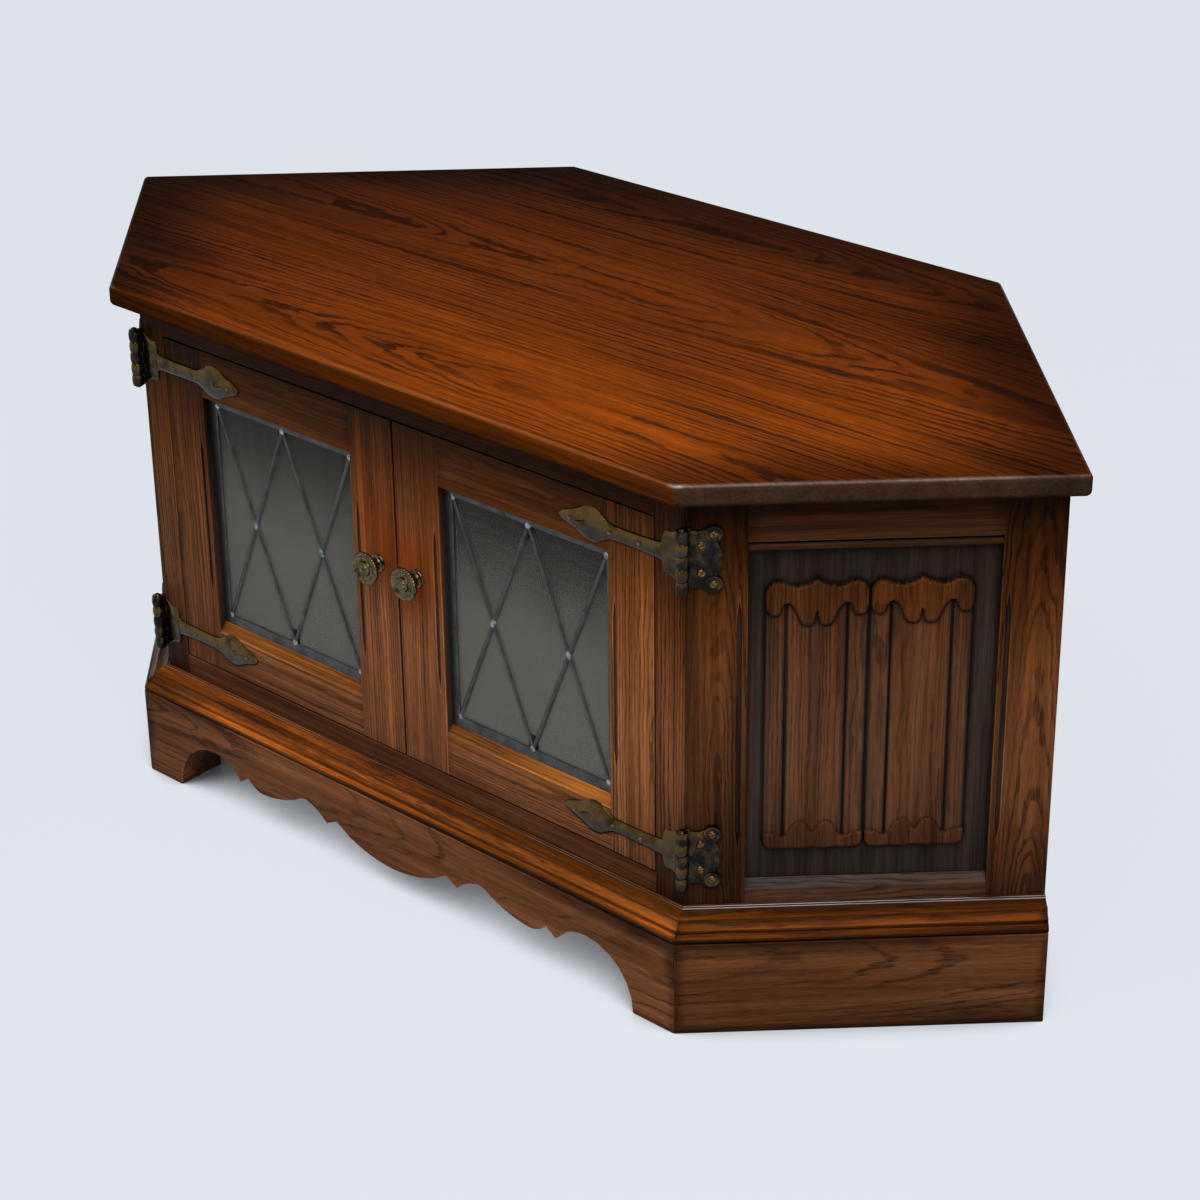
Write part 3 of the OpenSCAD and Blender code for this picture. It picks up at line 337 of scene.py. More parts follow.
def oak(name, light, grain, spacing=3.6, hearts=(), contrast=0.92, late=0.48, pore=0.6,
        edge=0.75, deep=0.0, deep_to=2.0, upper=None, glint=None, patchy=0.32, gloss=0.03,
        rough=0.36, finish_and_painted_light=None):
    """Oak stained dark. Its growth rings lie round a heart line under each board's face, at the
    place that the board's figure gives or round the nearest of several hearts, and dark open
    grain follows each ring as far as late. Spacing, hearts and deep_to are in mm. Edge is how
    dark the board's rim is, deep how far what lies deeper than deep_to takes a tint of stains
    and painted shade, upper the colour painted on faces that look upwards as the light they catch
    from above, in patches like wear, and glint the colour of a painted highlight on their arrises."""
    tree, shader = new_material(name)
    place = attribute(tree, "place")
    half, local = parts(tree, attribute(tree, "board")), parts(tree, place)
    p = add(
        tree, "VectorMath",
        {0: add(tree, "CombineXYZ", {0: half[2], 1: half[2], 2: half[2]}).outputs[0],
         1: (5.13, 3.71, 1.93), 2: place},
        operation="MULTIPLY_ADD",
    ).outputs[0]
    wave = swing(tree, p, (6, 40, 40), 5 * MM)
    sway = calc(tree, "ADD", swing(tree, p, (1.7, 3, 3), 44 * MM),
                swing(tree, p, (24, 60, 60), 7 * MM))
    ring = None
    for heart, depth, tilt in hearts or (parts(tree, attribute(tree, "figure"))[:3],):
        if hearts:
            heart, depth = heart * MM, depth * MM
        from_heart = calc(tree, "ADD", calc(tree, "SUBTRACT", local[1], heart), wave)
        under = calc(
            tree, "MULTIPLY_ADD", local[0], tilt,
            calc(tree, "ADD", calc(tree, "ADD", local[2], depth), sway),
        )
        here = add(
            tree, "VectorMath",
            {0: add(tree, "CombineXYZ", {0: from_heart, 1: under}).outputs[0]},
            operation="LENGTH",
        ).outputs["Value"]
        ring = calc(tree, "MINIMUM", ring, here) if ring else here
    years = add(
        tree, "TexNoise",
        {"W": calc(tree, "MULTIPLY_ADD", ring, YEAR_NOISE, half[2]), "Scale": 1.0,
         "Detail": 1.0},
        noise_dimensions="1D",
    ).outputs["Fac"]
    phase = calc(
        tree, "ADD", calc(tree, "DIVIDE", ring, spacing * MM),
        calc(tree, "MULTIPLY_ADD", years, YEAR_SHIFT, swing(tree, p, (30, 260, 260), 0.6)),
    )
    ramp = add(tree, "ValToRGB", {0: calc(tree, "FRACT", phase)})
    stops = ramp.color_ramp.elements
    stops[0].position, stops[0].color = 0.0, (0.1, 0.1, 0.1, 1)
    stops[1].position, stops[1].color = 1.0, (0, 0, 0, 1)
    for at, level in ((0.07, 1.0), (late - 0.14, 0.95), (late, 0.1)):
        stops.new(at).color = (level, level, level, 1)
    strength = span(tree, noise(tree, p, (4, 40, 40)), 0.33, 0.60, 0.4, 1.0)
    band = times(tree, ramp.outputs[0], strength)
    pores = span(tree, noise(tree, p, (75, 1300, 1300), 1.0), 0.42, 0.58)
    streak = noise(tree, p, (14, 420, 420), 3.0, 0.65)
    mottle = noise(tree, p, (2.4, 13, 13))
    broad = noise(tree, p, (3.5, 95, 95), 2.0, 0.6)
    stained = times(tree, band, span(tree, pores, 0, 1, pore, 1.0))
    stained = calc(tree, "MAXIMUM", stained, times(tree, pores, PORE_STAIN))
    colour = mixed(tree, times(tree, stained, contrast), rgba(light), rgba(grain))
    facing = add(tree, "NewGeometry").outputs
    # Painted light: faces that look upwards take the upper colour, in patches like wear
    if upper:
        upward_light_and_wear = times(tree, span(tree, parts(tree, facing["True Normal"])[2], 0.25, 0.45),
                     span(tree, mottle, 0.35, 0.6, 0.25, 1.0))
        upward_colour = mixed(tree, times(tree, stained, 0.75), rgba(upper), rgba(grain))
        colour = mixed(tree, upward_light_and_wear, colour, upward_colour)
    stain_and_painted_light = parts(tree, attribute(tree, "stain_and_painted_light"))
    level = times(
        tree, span(tree, streak, 0.3, 0.7, 0.72, 1.24), span(tree, mottle, 0.3, 0.7, 0.74, 1.22),
        span(tree, broad, 0.35, 0.65, 1 - patchy, 1 + patchy), stain_and_painted_light[0],
    )
    to_rim = calc(
        tree, "MINIMUM", calc(tree, "SUBTRACT", half[1], calc(tree, "ABSOLUTE", local[1])),
        calc(tree, "SUBTRACT", half[0], calc(tree, "ABSOLUTE", local[0])),
    )
    if finish_and_painted_light:
        colour, shade = finish_and_painted_light(tree, colour, mottle, stain_and_painted_light)
        level = times(tree, level, shade)
    if edge < 1:
        to_rim = uneven(tree, to_rim, mottle, 20 * MM)
        level = times(tree, level, span(tree, to_rim, 0, 12 * MM, edge, 1.0, True))
    # Stains and painted shade: what lies sunk below the face is tinted darker as it lies deeper
    if deep:
        sunk = span(tree, local[2], 0.4 * MM, deep_to * MM, 0.0, 1.0, True)
        colour = mixed(tree, times(tree, sunk, deep), colour, SUNK_STAIN_AND_SHADE_TINT)
    arris = parts(tree, attribute(tree, "arris"))[0]
    line = parts(tree, attribute(tree, "carved_line_shade"))[0]
    # Painted shade in hollows and carved lines; arrises lighter as wear and painted highlight
    level = times(
        tree, level, hollow_shade_and_dirt(tree, 9, 0.3),
        calc(tree, "MULTIPLY_ADD", arris, span(tree, mottle, 0.35, 0.6, 0.1, 0.9), 1.0),
        calc(tree, "MULTIPLY_ADD", line, -LINE_DARK, 1.0),
    )
    colour = scaled(tree, colour, level)
    # Painted highlight: arrises that face upwards take the glint colour, in patches
    if glint:
        bright = times(
            tree, arris, span(tree, parts(tree, facing["Normal"])[2], -0.1, 0.3), stain_and_painted_light[1],
            span(tree, noise(tree, p, (9, 150, 150), 3.0), 0.36, 0.6, 0.05, 1.0),
        )
        colour = mixed(tree, bright, colour, rgba(glint))
    height = calc(
        tree, "SUBTRACT", times(tree, streak, 0.5),
        calc(tree, "MULTIPLY_ADD", band, 0.35, times(tree, pores, 0.5)),
    )
    wired(
        tree, shader, Base_Color=colour,
        Roughness=calc(tree, "ADD", span(tree, streak, 0.3, 0.7, rough - 0.06, rough + 0.06),
                       times(tree, stained, 0.15)),
        Normal=bumped(tree, height, 0.5, 0.3),
    )
    set_on(shader, Specular_IOR_Level=gloss)


def frame_finish_and_shade(tree, colour, mottle, stain_and_painted_light):
    """Finish of the frames: painted shadow under the top's overhang, and darker towards the
    moulding at the foot, as far as each board's levels say, redder towards the top and where
    hands go to the knobs."""
    at = parts(tree, add(tree, "TexCoord").outputs["Object"])
    z = uneven(tree, at[2], mottle, 90 * MM)
    across = calc(tree, "ABSOLUTE", at[0])
    above = calc(tree, "ABSOLUTE", calc(tree, "SUBTRACT", z, HANDLED_Z))
    handled = times(
        tree, span(tree, across, 25 * MM, 70 * MM, 0.75, 0, True),
        span(tree, above, 15 * MM, 60 * MM, 1, 0, True),
    )
    colour = mixed(tree, handled, colour, HANDLED_TINT)
    # Painted shadow under the top, and darker towards the foot
    shade = times(tree, span(tree, z, 0.12, 0.25, stain_and_painted_light[1], 1.0, True),
                  span(tree, z, 0.30, 0.475, 1.0, stain_and_painted_light[2], True))
    tint = mixed(tree, span(tree, z, 0.28, 0.40), (1, 1, 1, 1), HEAD_TINT)
    colour = add(tree, "VectorMath", {0: colour, 1: tint}, operation="MULTIPLY").outputs[0]
    return colour, shade


def top_lines():
    """Where the top's canted sides and its wall edges lie: |x| - y and |x| + y there."""
    low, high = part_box("top_board")
    over_side, over_back = FRONT_Y - low.y, high.y - BACK_Y
    return (HALF_W - FRONT_Y + over_side / DIAGONAL,
            2 * SIDE_END_X - HALF_W + FRONT_Y + over_back / DIAGONAL)


def top_finish_and_painted_light(tree, colour, mottle, _):
    """Finish of the top board: burnished dark at its sides, its wall edges and its back, and
    painted darker towards its back and its left as the light falls off, with worn arrises round
    plain edges that carry a painted highlight, and a painted glint at its front corners."""
    at = parts(tree, add(tree, "TexCoord").outputs["Object"])
    low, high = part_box("top_board")
    side, wall = top_lines()
    across = calc(tree, "ABSOLUTE", at[0])
    to_side = calc(
        tree, "MULTIPLY_ADD", calc(tree, "SUBTRACT", across, at[1]), -DIAGONAL, side * DIAGONAL
    )
    to_wall = calc(
        tree, "MULTIPLY_ADD", calc(tree, "ADD", across, at[1]), -DIAGONAL, wall * DIAGONAL
    )
    to_back = calc(tree, "SUBTRACT", high.y, at[1])
    to_front = calc(tree, "SUBTRACT", at[1], low.y)
    near = calc(tree, "MINIMUM", calc(tree, "MINIMUM", to_side, to_wall), to_back)
    rim = span(tree, uneven(tree, near, mottle, 0.11), 0.0, 0.11, 0.36, 1.0, True)
    # Painted light falloff: darker towards the back and, below, towards the left
    depth = span(tree, to_front, 0.06, 0.50, 1.0, 0.5, True)
    left = span(tree, at[0], -0.56, 0.25, 0.5, 1.0, True)
    shade = times(tree, rim, depth)
    burnished_and_shaded = calc(tree, "SUBTRACT", 1.0, shade)
    colour = mixed(tree, times(tree, burnished_and_shaded, 0.4), colour, BURNISHED_AND_SHADED_TINT)
    shade = times(tree, shade, left)
    up = parts(tree, add(tree, "NewGeometry").outputs["Normal"])[2]
    canted = calc(
        tree, "MAXIMUM", span(tree, to_front, 30 * MM, 40 * MM),
        span(tree, calc(tree, "SUBTRACT", to_side, to_front), -2 * MM, 1 * MM, 1, 0),
    )
    plain = mixed(tree, canted, FRONT_EDGE_TINT, CANTED_EDGE_TINT)
    upright = span(tree, up, 0.96, 0.75)
    covered = times(tree, upright, span(tree, canted, 0, 1, 0.75, 0.97))
    colour = mixed(tree, covered, colour, plain)
    # Worn arrises with a painted highlight, orange at the front and pale on the canted sides
    worn_and_glinting = times(
        tree, span(tree, up, 0.45, 0.75), span(tree, up, 0.985, 0.93),
        span(tree, mottle, 0.35, 0.6, 0.45, 1.0), span(tree, canted, 0, 1, 0.4, 0.75),
    )
    bright = mixed(tree, canted, FRONT_ARRIS_WEAR_AND_HIGHLIGHT, CANTED_ARRIS_PAINTED_HIGHLIGHT)
    # Painted glint at the front corners
    corner = add(
        tree, "VectorMath",
        {0: add(tree, "CombineXYZ", {0: across, 1: at[1], 2: at[2]}).outputs[0],
         1: (side + low.y, low.y + 1.5 * MM, high.z - 1.5 * MM)},
        operation="DISTANCE",
    ).outputs["Value"]
    bright = mixed(tree, span(tree, corner, 9 * MM, 3 * MM), bright, CORNER_PAINTED_GLINT)
    colour = mixed(tree, worn_and_glinting, colour, bright)
    return colour, calc(tree, "MAXIMUM", shade, times(tree, upright, left))


def plain_timber(name, light, dark, rough=0.6):
    """Unpolished wood that is seen only from behind or inside."""
    tree, shader = new_material(name)
    p = add(
        tree, "VectorMath",
        {0: attribute(tree, "board"), 1: (0.7, 0.9, 3.1), 2: attribute(tree, "place")},
        operation="MULTIPLY_ADD",
    ).outputs[0]
    grain = noise(tree, p, (4, 90, 90), 4.0, 0.6)
    # Painted shade and dirt in the hollows, with a mottled tone
    level = times(tree, span(tree, noise(tree, p, (3, 9, 9)), 0.3, 0.7, 0.8, 1.15),
                  hollow_shade_and_dirt(tree, 15, 0.5))
    colour = mixed(tree, span(tree, grain, 0.35, 0.65), rgba(light), rgba(dark))
    wired(
        tree, shader, Base_Color=scaled(tree, colour, level),
        Normal=bumped(tree, grain, 0.4, 0.3),
        Roughness=span(tree, grain, 0.3, 0.7, rough, rough + 0.15),
    )
    set_on(shader, Specular_IOR_Level=0.2)


def metal(name, colour, dark, rough, scale, bump=0.25, metallic=1.0, wear=0.42, under=None,
          dirt_and_shade_reach=None):
    """Metal with a mottled patina and a hand-finished, slightly uneven surface. Under is the
    colour of what faces down, painted there as shade, and the last argument gives in mm how narrow
    the hollows are that painted shade and dirt darken."""
    tree, shader = new_material(name)
    p = add(tree, "TexCoord").outputs["Object"]
    patches = noise(tree, p, (scale, scale, scale), 3.0, 0.6)
    fine = noise(tree, p, (scale * 7, scale * 7, scale * 7))
    share = span(tree, calc(tree, "MULTIPLY_ADD", fine, 0.2, patches), wear, wear + 0.30)
    lit = rgba(colour)
    # Painted shade: faces that look down take the darker under colour
    if under:
        faces_up = parts(tree, add(tree, "NewGeometry").outputs["Normal"])[2]
        lit = mixed(tree, span(tree, faces_up, -0.10, 0.16), rgba(under), rgba(colour))
    tint = mixed(tree, share, rgba(dark), lit)
    # Painted shade and dirt in the hollows
    if dirt_and_shade_reach:
        tint = scaled(tree, tint, hollow_shade_and_dirt(tree, dirt_and_shade_reach, 0.15))
    height = calc(tree, "MULTIPLY_ADD", fine, 0.1, patches)
    wired(
        tree, shader, Base_Color=tint, Normal=bumped(tree, height, bump, 0.4),
        Roughness=span(tree, share, 0.0, 1.0, rough[1], rough[0]),
    )
    set_on(shader, Metallic=metallic)


def glass_material():
    """Clear old glass with a film of dust that thickens towards its foot."""
    tree, shader = new_material("old_glass")
    at = add(tree, "TexCoord").outputs["Object"]
    smear = noise(tree, at, (30, 30, 7), 3.0)
    z = calc(tree, "MULTIPLY_ADD", smear, 0.06, parts(tree, at)[2])
    set_on(shader, Base_Color=(0.78, 0.80, 0.75, 1), Transmission_Weight=1.0, IOR=1.08,
           Roughness=0.0)
    dust = add(tree, "BsdfDiffuse", {"Color": (0.42, 0.40, 0.36, 1)})
    film = span(tree, z, 0.30, 0.42, 0.38, 0.08, True)
    show(tree, blend(tree, film, shader, dust))


def plastic_material():
    tree, shader = new_material("catch_plastic")
    grit = noise(tree, add(tree, "TexCoord").outputs["Object"], (900, 900, 900))
    wired(
        tree, shader,
        Base_Color=mixed(tree, grit, (0.52, 0.50, 0.45, 1), (0.62, 0.60, 0.55, 1)),
        Roughness=span(tree, grit, 0.3, 0.7, 0.35, 0.5), Normal=bumped(tree, grit, 0.2, 0.2),
    )


def make_materials(context):
    wood, metals = context.scene.cabinet_wood, context.scene.cabinet_metal
    tone, grain = tuple(wood.frame_colour), tuple(wood.grain_colour)
    top = tuple(wood.top_colour)
    ember = (0.42, 0.135, 0.022)
    soft_grain = [c * 1.8 for c in grain]
    oak("oak_top", top, grain, 5.4, hearts=TOP_HEARTS, contrast=0.95, late=0.46, pore=0.7,
        finish_and_painted_light=top_finish_and_painted_light, edge=1.0, patchy=0.12, gloss=0.002)
    oak("oak_frame", tone, soft_grain, deep=0.8, finish_and_painted_light=frame_finish_and_shade)
    # Sill tops: painted light, orange on the doors and a grey painted reflection on the sides
    oak("oak_door_sill", tone, soft_grain, upper=ember, finish_and_painted_light=frame_finish_and_shade)
    oak("oak_side_sill", tone, soft_grain, upper=(0.085, 0.079, 0.076), gloss=0.25, rough=0.5,
        finish_and_painted_light=frame_finish_and_shade)
    oak("oak_rail", tone, soft_grain, 4.2, deep=0.6, edge=0.7, contrast=0.6,
        finish_and_painted_light=frame_finish_and_shade)
    # Its glint is a painted highlight along the bead
    oak("oak_beaded_rail", [c * 0.6 for c in tone], soft_grain, 4.2, deep=0.6, edge=0.7,
        contrast=0.6, glint=(0.34, 0.31, 0.29))
    oak("oak_panel", [c * 0.97 for c in tone], soft_grain, 3.6, edge=0.85, deep=0.85,
        deep_to=5.5, contrast=0.85, gloss=0.05, rough=0.3, finish_and_painted_light=frame_finish_and_shade)
    # Its upper colour is painted light on the upward slopes, and its glint a painted highlight
    oak("oak_moulding", (0.18, 0.053, 0.004), grain, 6.0, late=0.5, edge=0.3,
        upper=(0.34, 0.082, 0.008), glint=(0.55, 0.47, 0.42), patchy=0.5, gloss=0.035,
        rough=0.2)
    oak("oak_plinth", tone, soft_grain, 8.5, late=0.36, edge=0.4, pore=0.45, patchy=0.25)
    plain_timber("plain_pine", (0.30, 0.19, 0.10), (0.20, 0.12, 0.06))
    plain_timber("back_ply", (0.24, 0.13, 0.065), (0.15, 0.075, 0.035))
    plain_timber("floor_wood", (0.075, 0.030, 0.012), (0.035, 0.014, 0.006), 0.45)
    bronze, brass = tuple(metals.bronze_colour), tuple(metals.brass_colour)
    metal("strap_bronze", bronze, [c * 0.2 for c in bronze], (0.13, 0.3), 60.0, wear=0.36,
          under=(0.05, 0.042, 0.033), dirt_and_shade_reach=4)
    metal("plate_bronze", [c * 1.4 for c in bronze], (0.014, 0.013, 0.012), (0.13, 0.34), 80.0,
          wear=0.52, under=(0.03, 0.025, 0.02), dirt_and_shade_reach=4)
    metal("knob_bronze", (0.17, 0.132, 0.060), (0.040, 0.033, 0.019), (0.18, 0.36), 300.0,
          dirt_and_shade_reach=7)
    metal("worn_brass", brass, [c * 0.3 for c in brass], (0.2, 0.4), 400.0, dirt_and_shade_reach=1.5)
    lead = tuple(metals.lead_colour)
    metal("grey_lead", lead, [c * 0.5 for c in lead], (0.3, 0.5), 60.0, metallic=0.7)
    metal("bright_solder", [c * 4.6 for c in lead], lead, (0.22, 0.4), 350.0, 0.6)
    metal("strike_steel", (0.5, 0.5, 0.5), (0.3, 0.3, 0.3), (0.25, 0.4), 500.0, 0.2)
    glass_material()
    plastic_material()


# ---- Mesh helpers


def welded(node):
    """A copy of a CAD node's mesh with its corners merged and its flat faces whole."""
    bm = bmesh.new()
    bm.from_mesh(NODES[node].data)
    bmesh.ops.remove_doubles(bm, verts=bm.verts, dist=WELD)
    bmesh.ops.dissolve_limit(
        bm, angle_limit=math.radians(0.3), verts=bm.verts, edges=bm.edges, delimit=set()
    )
    bm.normal_update()
    return bm


def bevelled(bm, geom, width, segments, affect="EDGES"):
    """Bevels edges or corners, and gives the new faces."""
    return bmesh.ops.bevel(
        bm, geom=geom, offset=width, offset_type="OFFSET", segments=segments, profile=0.5,
        affect=affect, clamp_overlap=True, material=-1,
    )["faces"]


def soften(bm, edges, width, segments=2):
    """Bevels edges and marks the new faces as arrises, which the oak lightens as wear and as a
    painted highlight.
    """
    arris = bm.faces.layers.float.get("arris") or bm.faces.layers.float.new("arris")
    for f in bevelled(bm, edges, width, segments):
        f[arris] = 1.0


def points_of(geom):
    return [v for v in geom if isinstance(v, bmesh.types.BMVert)]


def open_rims(bm):
    return [e for e in bm.edges if e.is_boundary]


def close_rims(bm):
    bmesh.ops.holes_fill(bm, edges=open_rims(bm), sides=0)


def backed(bm, axis, level):
    """Gives a worked face its thickness: draws its rim to a level along an axis, and closes it."""
    for v in points_of(bmesh.ops.extrude_edge_only(bm, edges=open_rims(bm))["geom"]):
        v.co[axis] = level
    close_rims(bm)


def ease(bm, width, along=None, shortest=4 * MM, sharper=35):
    """Eases the outer arrises, of which along gives the direction."""
    picked = []
    for e in bm.edges:
        if len(e.link_faces) != 2 or not e.is_convex or e.calc_length() < shortest:
            continue
        if e.calc_face_angle() < math.radians(sharper):
            continue
        way = (e.verts[1].co - e.verts[0].co).normalized()
        if along is None or abs(way.dot(along)) > 0.9:
            picked.append(e)
    if picked:
        soften(bm, picked, width)


def linked_object(name, bm, material):
    """Puts a finished mesh into the scene."""
    mesh = bpy.data.meshes.new(name)
    bm.to_mesh(mesh)
    bm.free()
    mesh.materials.append(bpy.data.materials[material])
    made = bpy.data.objects.new(name, mesh)
    bpy.context.scene.collection.objects.link(made)
    return made


def joined(bm, other):
    """Moves the faces of another mesh into this one."""
    mesh = bpy.data.meshes.new("joined")
    other.to_mesh(mesh)
    other.free()
    bm.from_mesh(mesh)
    bpy.data.meshes.remove(mesh)


def new_piece(name, bm, body, material, nodes=(), weighted=False, limit=38):
    """Makes the finished piece, which rides on a body and stands for CAD nodes. Its open rims,
    such as the undersides of nails and the ends of barrels, are closed."""
    old = bpy.data.objects.get(name)
    if old:
        bpy.data.objects.remove(old)
    close_rims(bm)
    for f in bm.faces:
        f.smooth = True
    for e in bm.edges:
        e.smooth = len(e.link_faces) == 2 and e.calc_face_angle() < math.radians(limit)
    piece = linked_object(name, bm, material)
    if weighted:
        piece.modifiers.new("Flat faces", "WEIGHTED_NORMAL").keep_sharp = True
    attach(piece, body)
    if nodes:
        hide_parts(*nodes)
    return piece


def write_vectors(mesh, name, values):
    data = mesh.attributes.new(name, "FLOAT_VECTOR", "POINT")
    data.data.foreach_set("vector", np.asarray(values, np.float32).ravel())


def mark_board(mesh, axes, left, seed, figure, stain_and_painted_light=(1, 1, 1), hidden=0.0):
    """Writes where each point lies on its board, the board's half sizes and its number, the
    place of its heart line as [across in mm, depth in mm, tilt], and three levels: how light
    the board is on the whole, partly its stains and partly painted light, how light it stays at
    its foot, and how light in the painted shadow under the top at its head; where the oak
    glints, the second sets how strong its painted highlight is."""
    co = np.empty(len(mesh.vertices) * 3, np.float32)
    mesh.vertices.foreach_get("co", co)
    co = co.reshape(-1, 3)
    if left:
        co = co * (-1, 1, 1)
    local = co @ np.array([tuple(a) for a in AXES[axes]]).T
    low, high = local.min(0), local.max(0)
    place = local - (low + high) / 2
    place[:, 2] = local[:, 2] - low[2]
    ones = np.ones((len(co), 1))
    write_vectors(mesh, "place", place)
    write_vectors(
        mesh, "board",
        ones * ((high[0] - low[0]) / 2 - hidden * MM, (high[1] - low[1]) / 2, seed),
    )
    write_vectors(mesh, "figure", ones * (figure[0] * MM, figure[1] * MM, figure[2]))
    write_vectors(mesh, "stain_and_painted_light", ones * stain_and_painted_light)


def dress_board(node, axes, seed, material, slot, figure=(45, 14, 0.01), stain_and_painted_light=(1, 1, 1),
                hidden=0.0, width=None, all_round=False, **how):
    """Replaces a CAD board by the same board with eased arrises and its own grain."""
    bm = welded(node)
    left = node.endswith("left") or node.startswith("left")
    along = AXES[axes][0].copy()
    if left:
        along.x = -along.x
    if width is None:
        width = bpy.context.scene.cabinet_wood.ease
    ease(bm, width, along=None if all_round else along, **how)
    bmesh.ops.dissolve_degenerate(bm, dist=SLIVER, edges=bm.edges)
    piece = new_piece(node + "_dressed", bm, BODY_OF[node], material, [node], True)
    mark_board(piece.data, axes, left, seed, figure, stain_and_painted_light, hidden)


def repaint(node, material):
    """Gives a CAD node that stays its finished material."""
    mesh = NODES[node].data
    mesh.materials.clear()
    mesh.materials.append(bpy.data.materials[material])


def turned(bm, profile, steps, turn=2 * math.pi):
    """Turns a profile of [radius, height] in mm about Z, and gives the new points."""
    before = set(bm.verts)
    points = [bm.verts.new((r * MM, 0, z * MM)) for r, z in profile]
    edges = [bm.edges.new(pair) for pair in zip(points, points[1:])]
    full = turn > 6.28
    bmesh.ops.spin(
        bm, geom=points + edges, cent=(0, 0, 0), axis=(0, 0, 1), angle=turn, steps=steps,
        use_merge=full,
    )
    made = [v for v in bm.verts if v not in before]
    bmesh.ops.remove_doubles(bm, verts=made, dist=TURNED_WELD)
    return [v for v in bm.verts if v not in before]


def moved(bm, verts, matrix):
    bmesh.ops.transform(bm, matrix=matrix, verts=verts)


def merged_shape(bm):
    """Turns every face outwards once the pieces are together."""
    bmesh.ops.recalc_face_normals(bm, faces=bm.faces)


def frame_matrix(origin, across, up, out):
    """Carries [across, up, out] onto the cabinet, from origin."""
    turn = Matrix((across, up, out)).transposed().to_4x4()
    return Matrix.Translation(origin) @ turn


def on_side(z):
    """Carries [across, up, out] onto the canted side, from its front arris at a height."""
    return frame_matrix(Vector((HALF_W, FRONT_Y, z)), ALONG_SIDE, Z, -INTO_SIDE)


def mirrored(bm, side):
    """Carries what is modelled on the right half to its side."""
    if side == "left":
        bmesh.ops.scale(bm, vec=(-1, 1, 1), verts=bm.verts)
        bmesh.ops.reverse_faces(bm, faces=bm.faces)


def hinge_z(node):
    low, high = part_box(node)
    return (low.z + high.z) / 2


def smooth_step(value, low, high):
    t = np.clip((value - low) / (high - low), 0, 1)
    return t * t * (3 - 2 * t)


def inside_by(points, shape):
    """Distance of points inside a closed outline, negative outside it."""
    a = np.asarray(shape, float)
    b = np.roll(a, -1, 0)
    nearest = np.full(len(points), 1e9)
    crossings = np.zeros(len(points), bool)
    x, y = points[:, 0], points[:, 1]
    for (ax, ay), (bx, by) in zip(a, b):
        dx, dy = bx - ax, by - ay
        t = np.clip(((x - ax) * dx + (y - ay) * dy) / (dx * dx + dy * dy + 1e-12), 0, 1)
        nearest = np.minimum(nearest, np.hypot(x - ax - t * dx, y - ay - t * dy))
        if ay != by:
            crosses = (ay > y) != (by > y)
            crossings ^= crosses & (x < dx * (y - ay) / dy + ax)
    return np.where(crossings, nearest, -nearest)


# ---- Top board


def top_piece():
    """The six-sided top with its corners and all its edges rounded."""
    low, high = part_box("top_board")
    side, wall = top_lines()
    bm = bmesh.new()
    right = [(side + low.y, low.y), ((side + wall) / 2, (wall - side) / 2),
             (wall - high.y, high.y)]
    points = [bm.verts.new((x, y, low.z)) for x, y in right]
    points += [bm.verts.new((-x, y, low.z)) for x, y in reversed(right)]
    bm.faces.new(points)
    for corner, width in TOP_CORNERS:
        bevelled(bm, [points[corner]], width * MM, 8, "VERTICES")
    for v in points_of(bmesh.ops.extrude_face_region(bm, geom=bm.faces[:])["geom"]):
        v.co.z = high.z
    merged_shape(bm)
    rim = [e for e in bm.edges if abs(e.verts[0].co.z - e.verts[1].co.z) < 1e-6]
    bevelled(bm, rim, TOP_ROUND * MM, 6)
    piece = new_piece("top_board_dressed", bm, BODY_OF["top_board"], "oak_top",
                      ["top_board"], True)
    mark_board(piece.data, "flat", False, 3.0, (0, 0, 0))


# ---- Carved linenfold

# Outlines of one fold from its left edge to its middle, as [across, height] in mm: the top and
# the hem's lower line from the carving's top, the other two from its foot
FOLD_TOP = [(-41, -14), (-40.6, -9.5), (-38.5, -5.6), (-35, -3), (-31, -2.1), (-27, -2.9),
            (-22, -5.4), (-17, -6.6), (-11, -5.6), (-5.5, -3.6), (-2.2, -1.8), (0, 0)]
HEM_TOP = [(-41, -22), (-40.4, -27), (-38, -30.4), (-34.6, -31.8), (-31.4, -31.4),
           (-29.4, -28.8), (-28, -24.4), (-25.6, -21.4),
           (-22.8, -20.8), (-19.5, -23.2), (-16.6, -28), (-14, -34.5), (-12, -38.4),
           (-9.6, -40.2), (-5.6, -40.4), (-3, -39.4), (-1.6, -36), (0, -28)]
HEM_FOOT = [(-41, 15), (-33, 15.6), (-28.4, 12.6), (-25, 11.4), (-22.4, 12.4), (-20, 16),
            (-16.6, 22.5), (-13.4, 25.6), (-9.6, 26.4), (-6, 24.6), (-3.8, 21), (-2, 17.6),
            (0, 16)]
FOLD_FOOT = [(-41, 7), (-39.8, 3.6), (-36.6, 1.2), (-31, 0.4), (-20, 1.2), (-10, 0.1), (0, 1.6)]
# Section across the fold from its edge to its middle, as [across, rise] in mm
FOLD_SECTION = [(-41, 0), (-40.2, 1.6), (-38.6, 2.6), (-36, 3.2), (-32, 3.5), (-28.5, 3.4),
                (-26.2, 3.0), (-25.2, 1.6), (-24.6, 0.5), (-23.9, 0.7), (-23.2, 2.3),
                (-21.6, 3.3), (-18, 3.9), (-12, 4.1), (-6, 3.7), (0, 3.1)]
HEM_RISE, FOOT_RISE, FOLD_GROOVE = 6.0, 5.2, 24.5


def whole(half):
    """An outline's left half and its mirror image."""
    return half + [(-x, z) for x, z in reversed(half[:-1])]


def lifted(shape, z):
    return [(x, y + z) for x, y in shape]


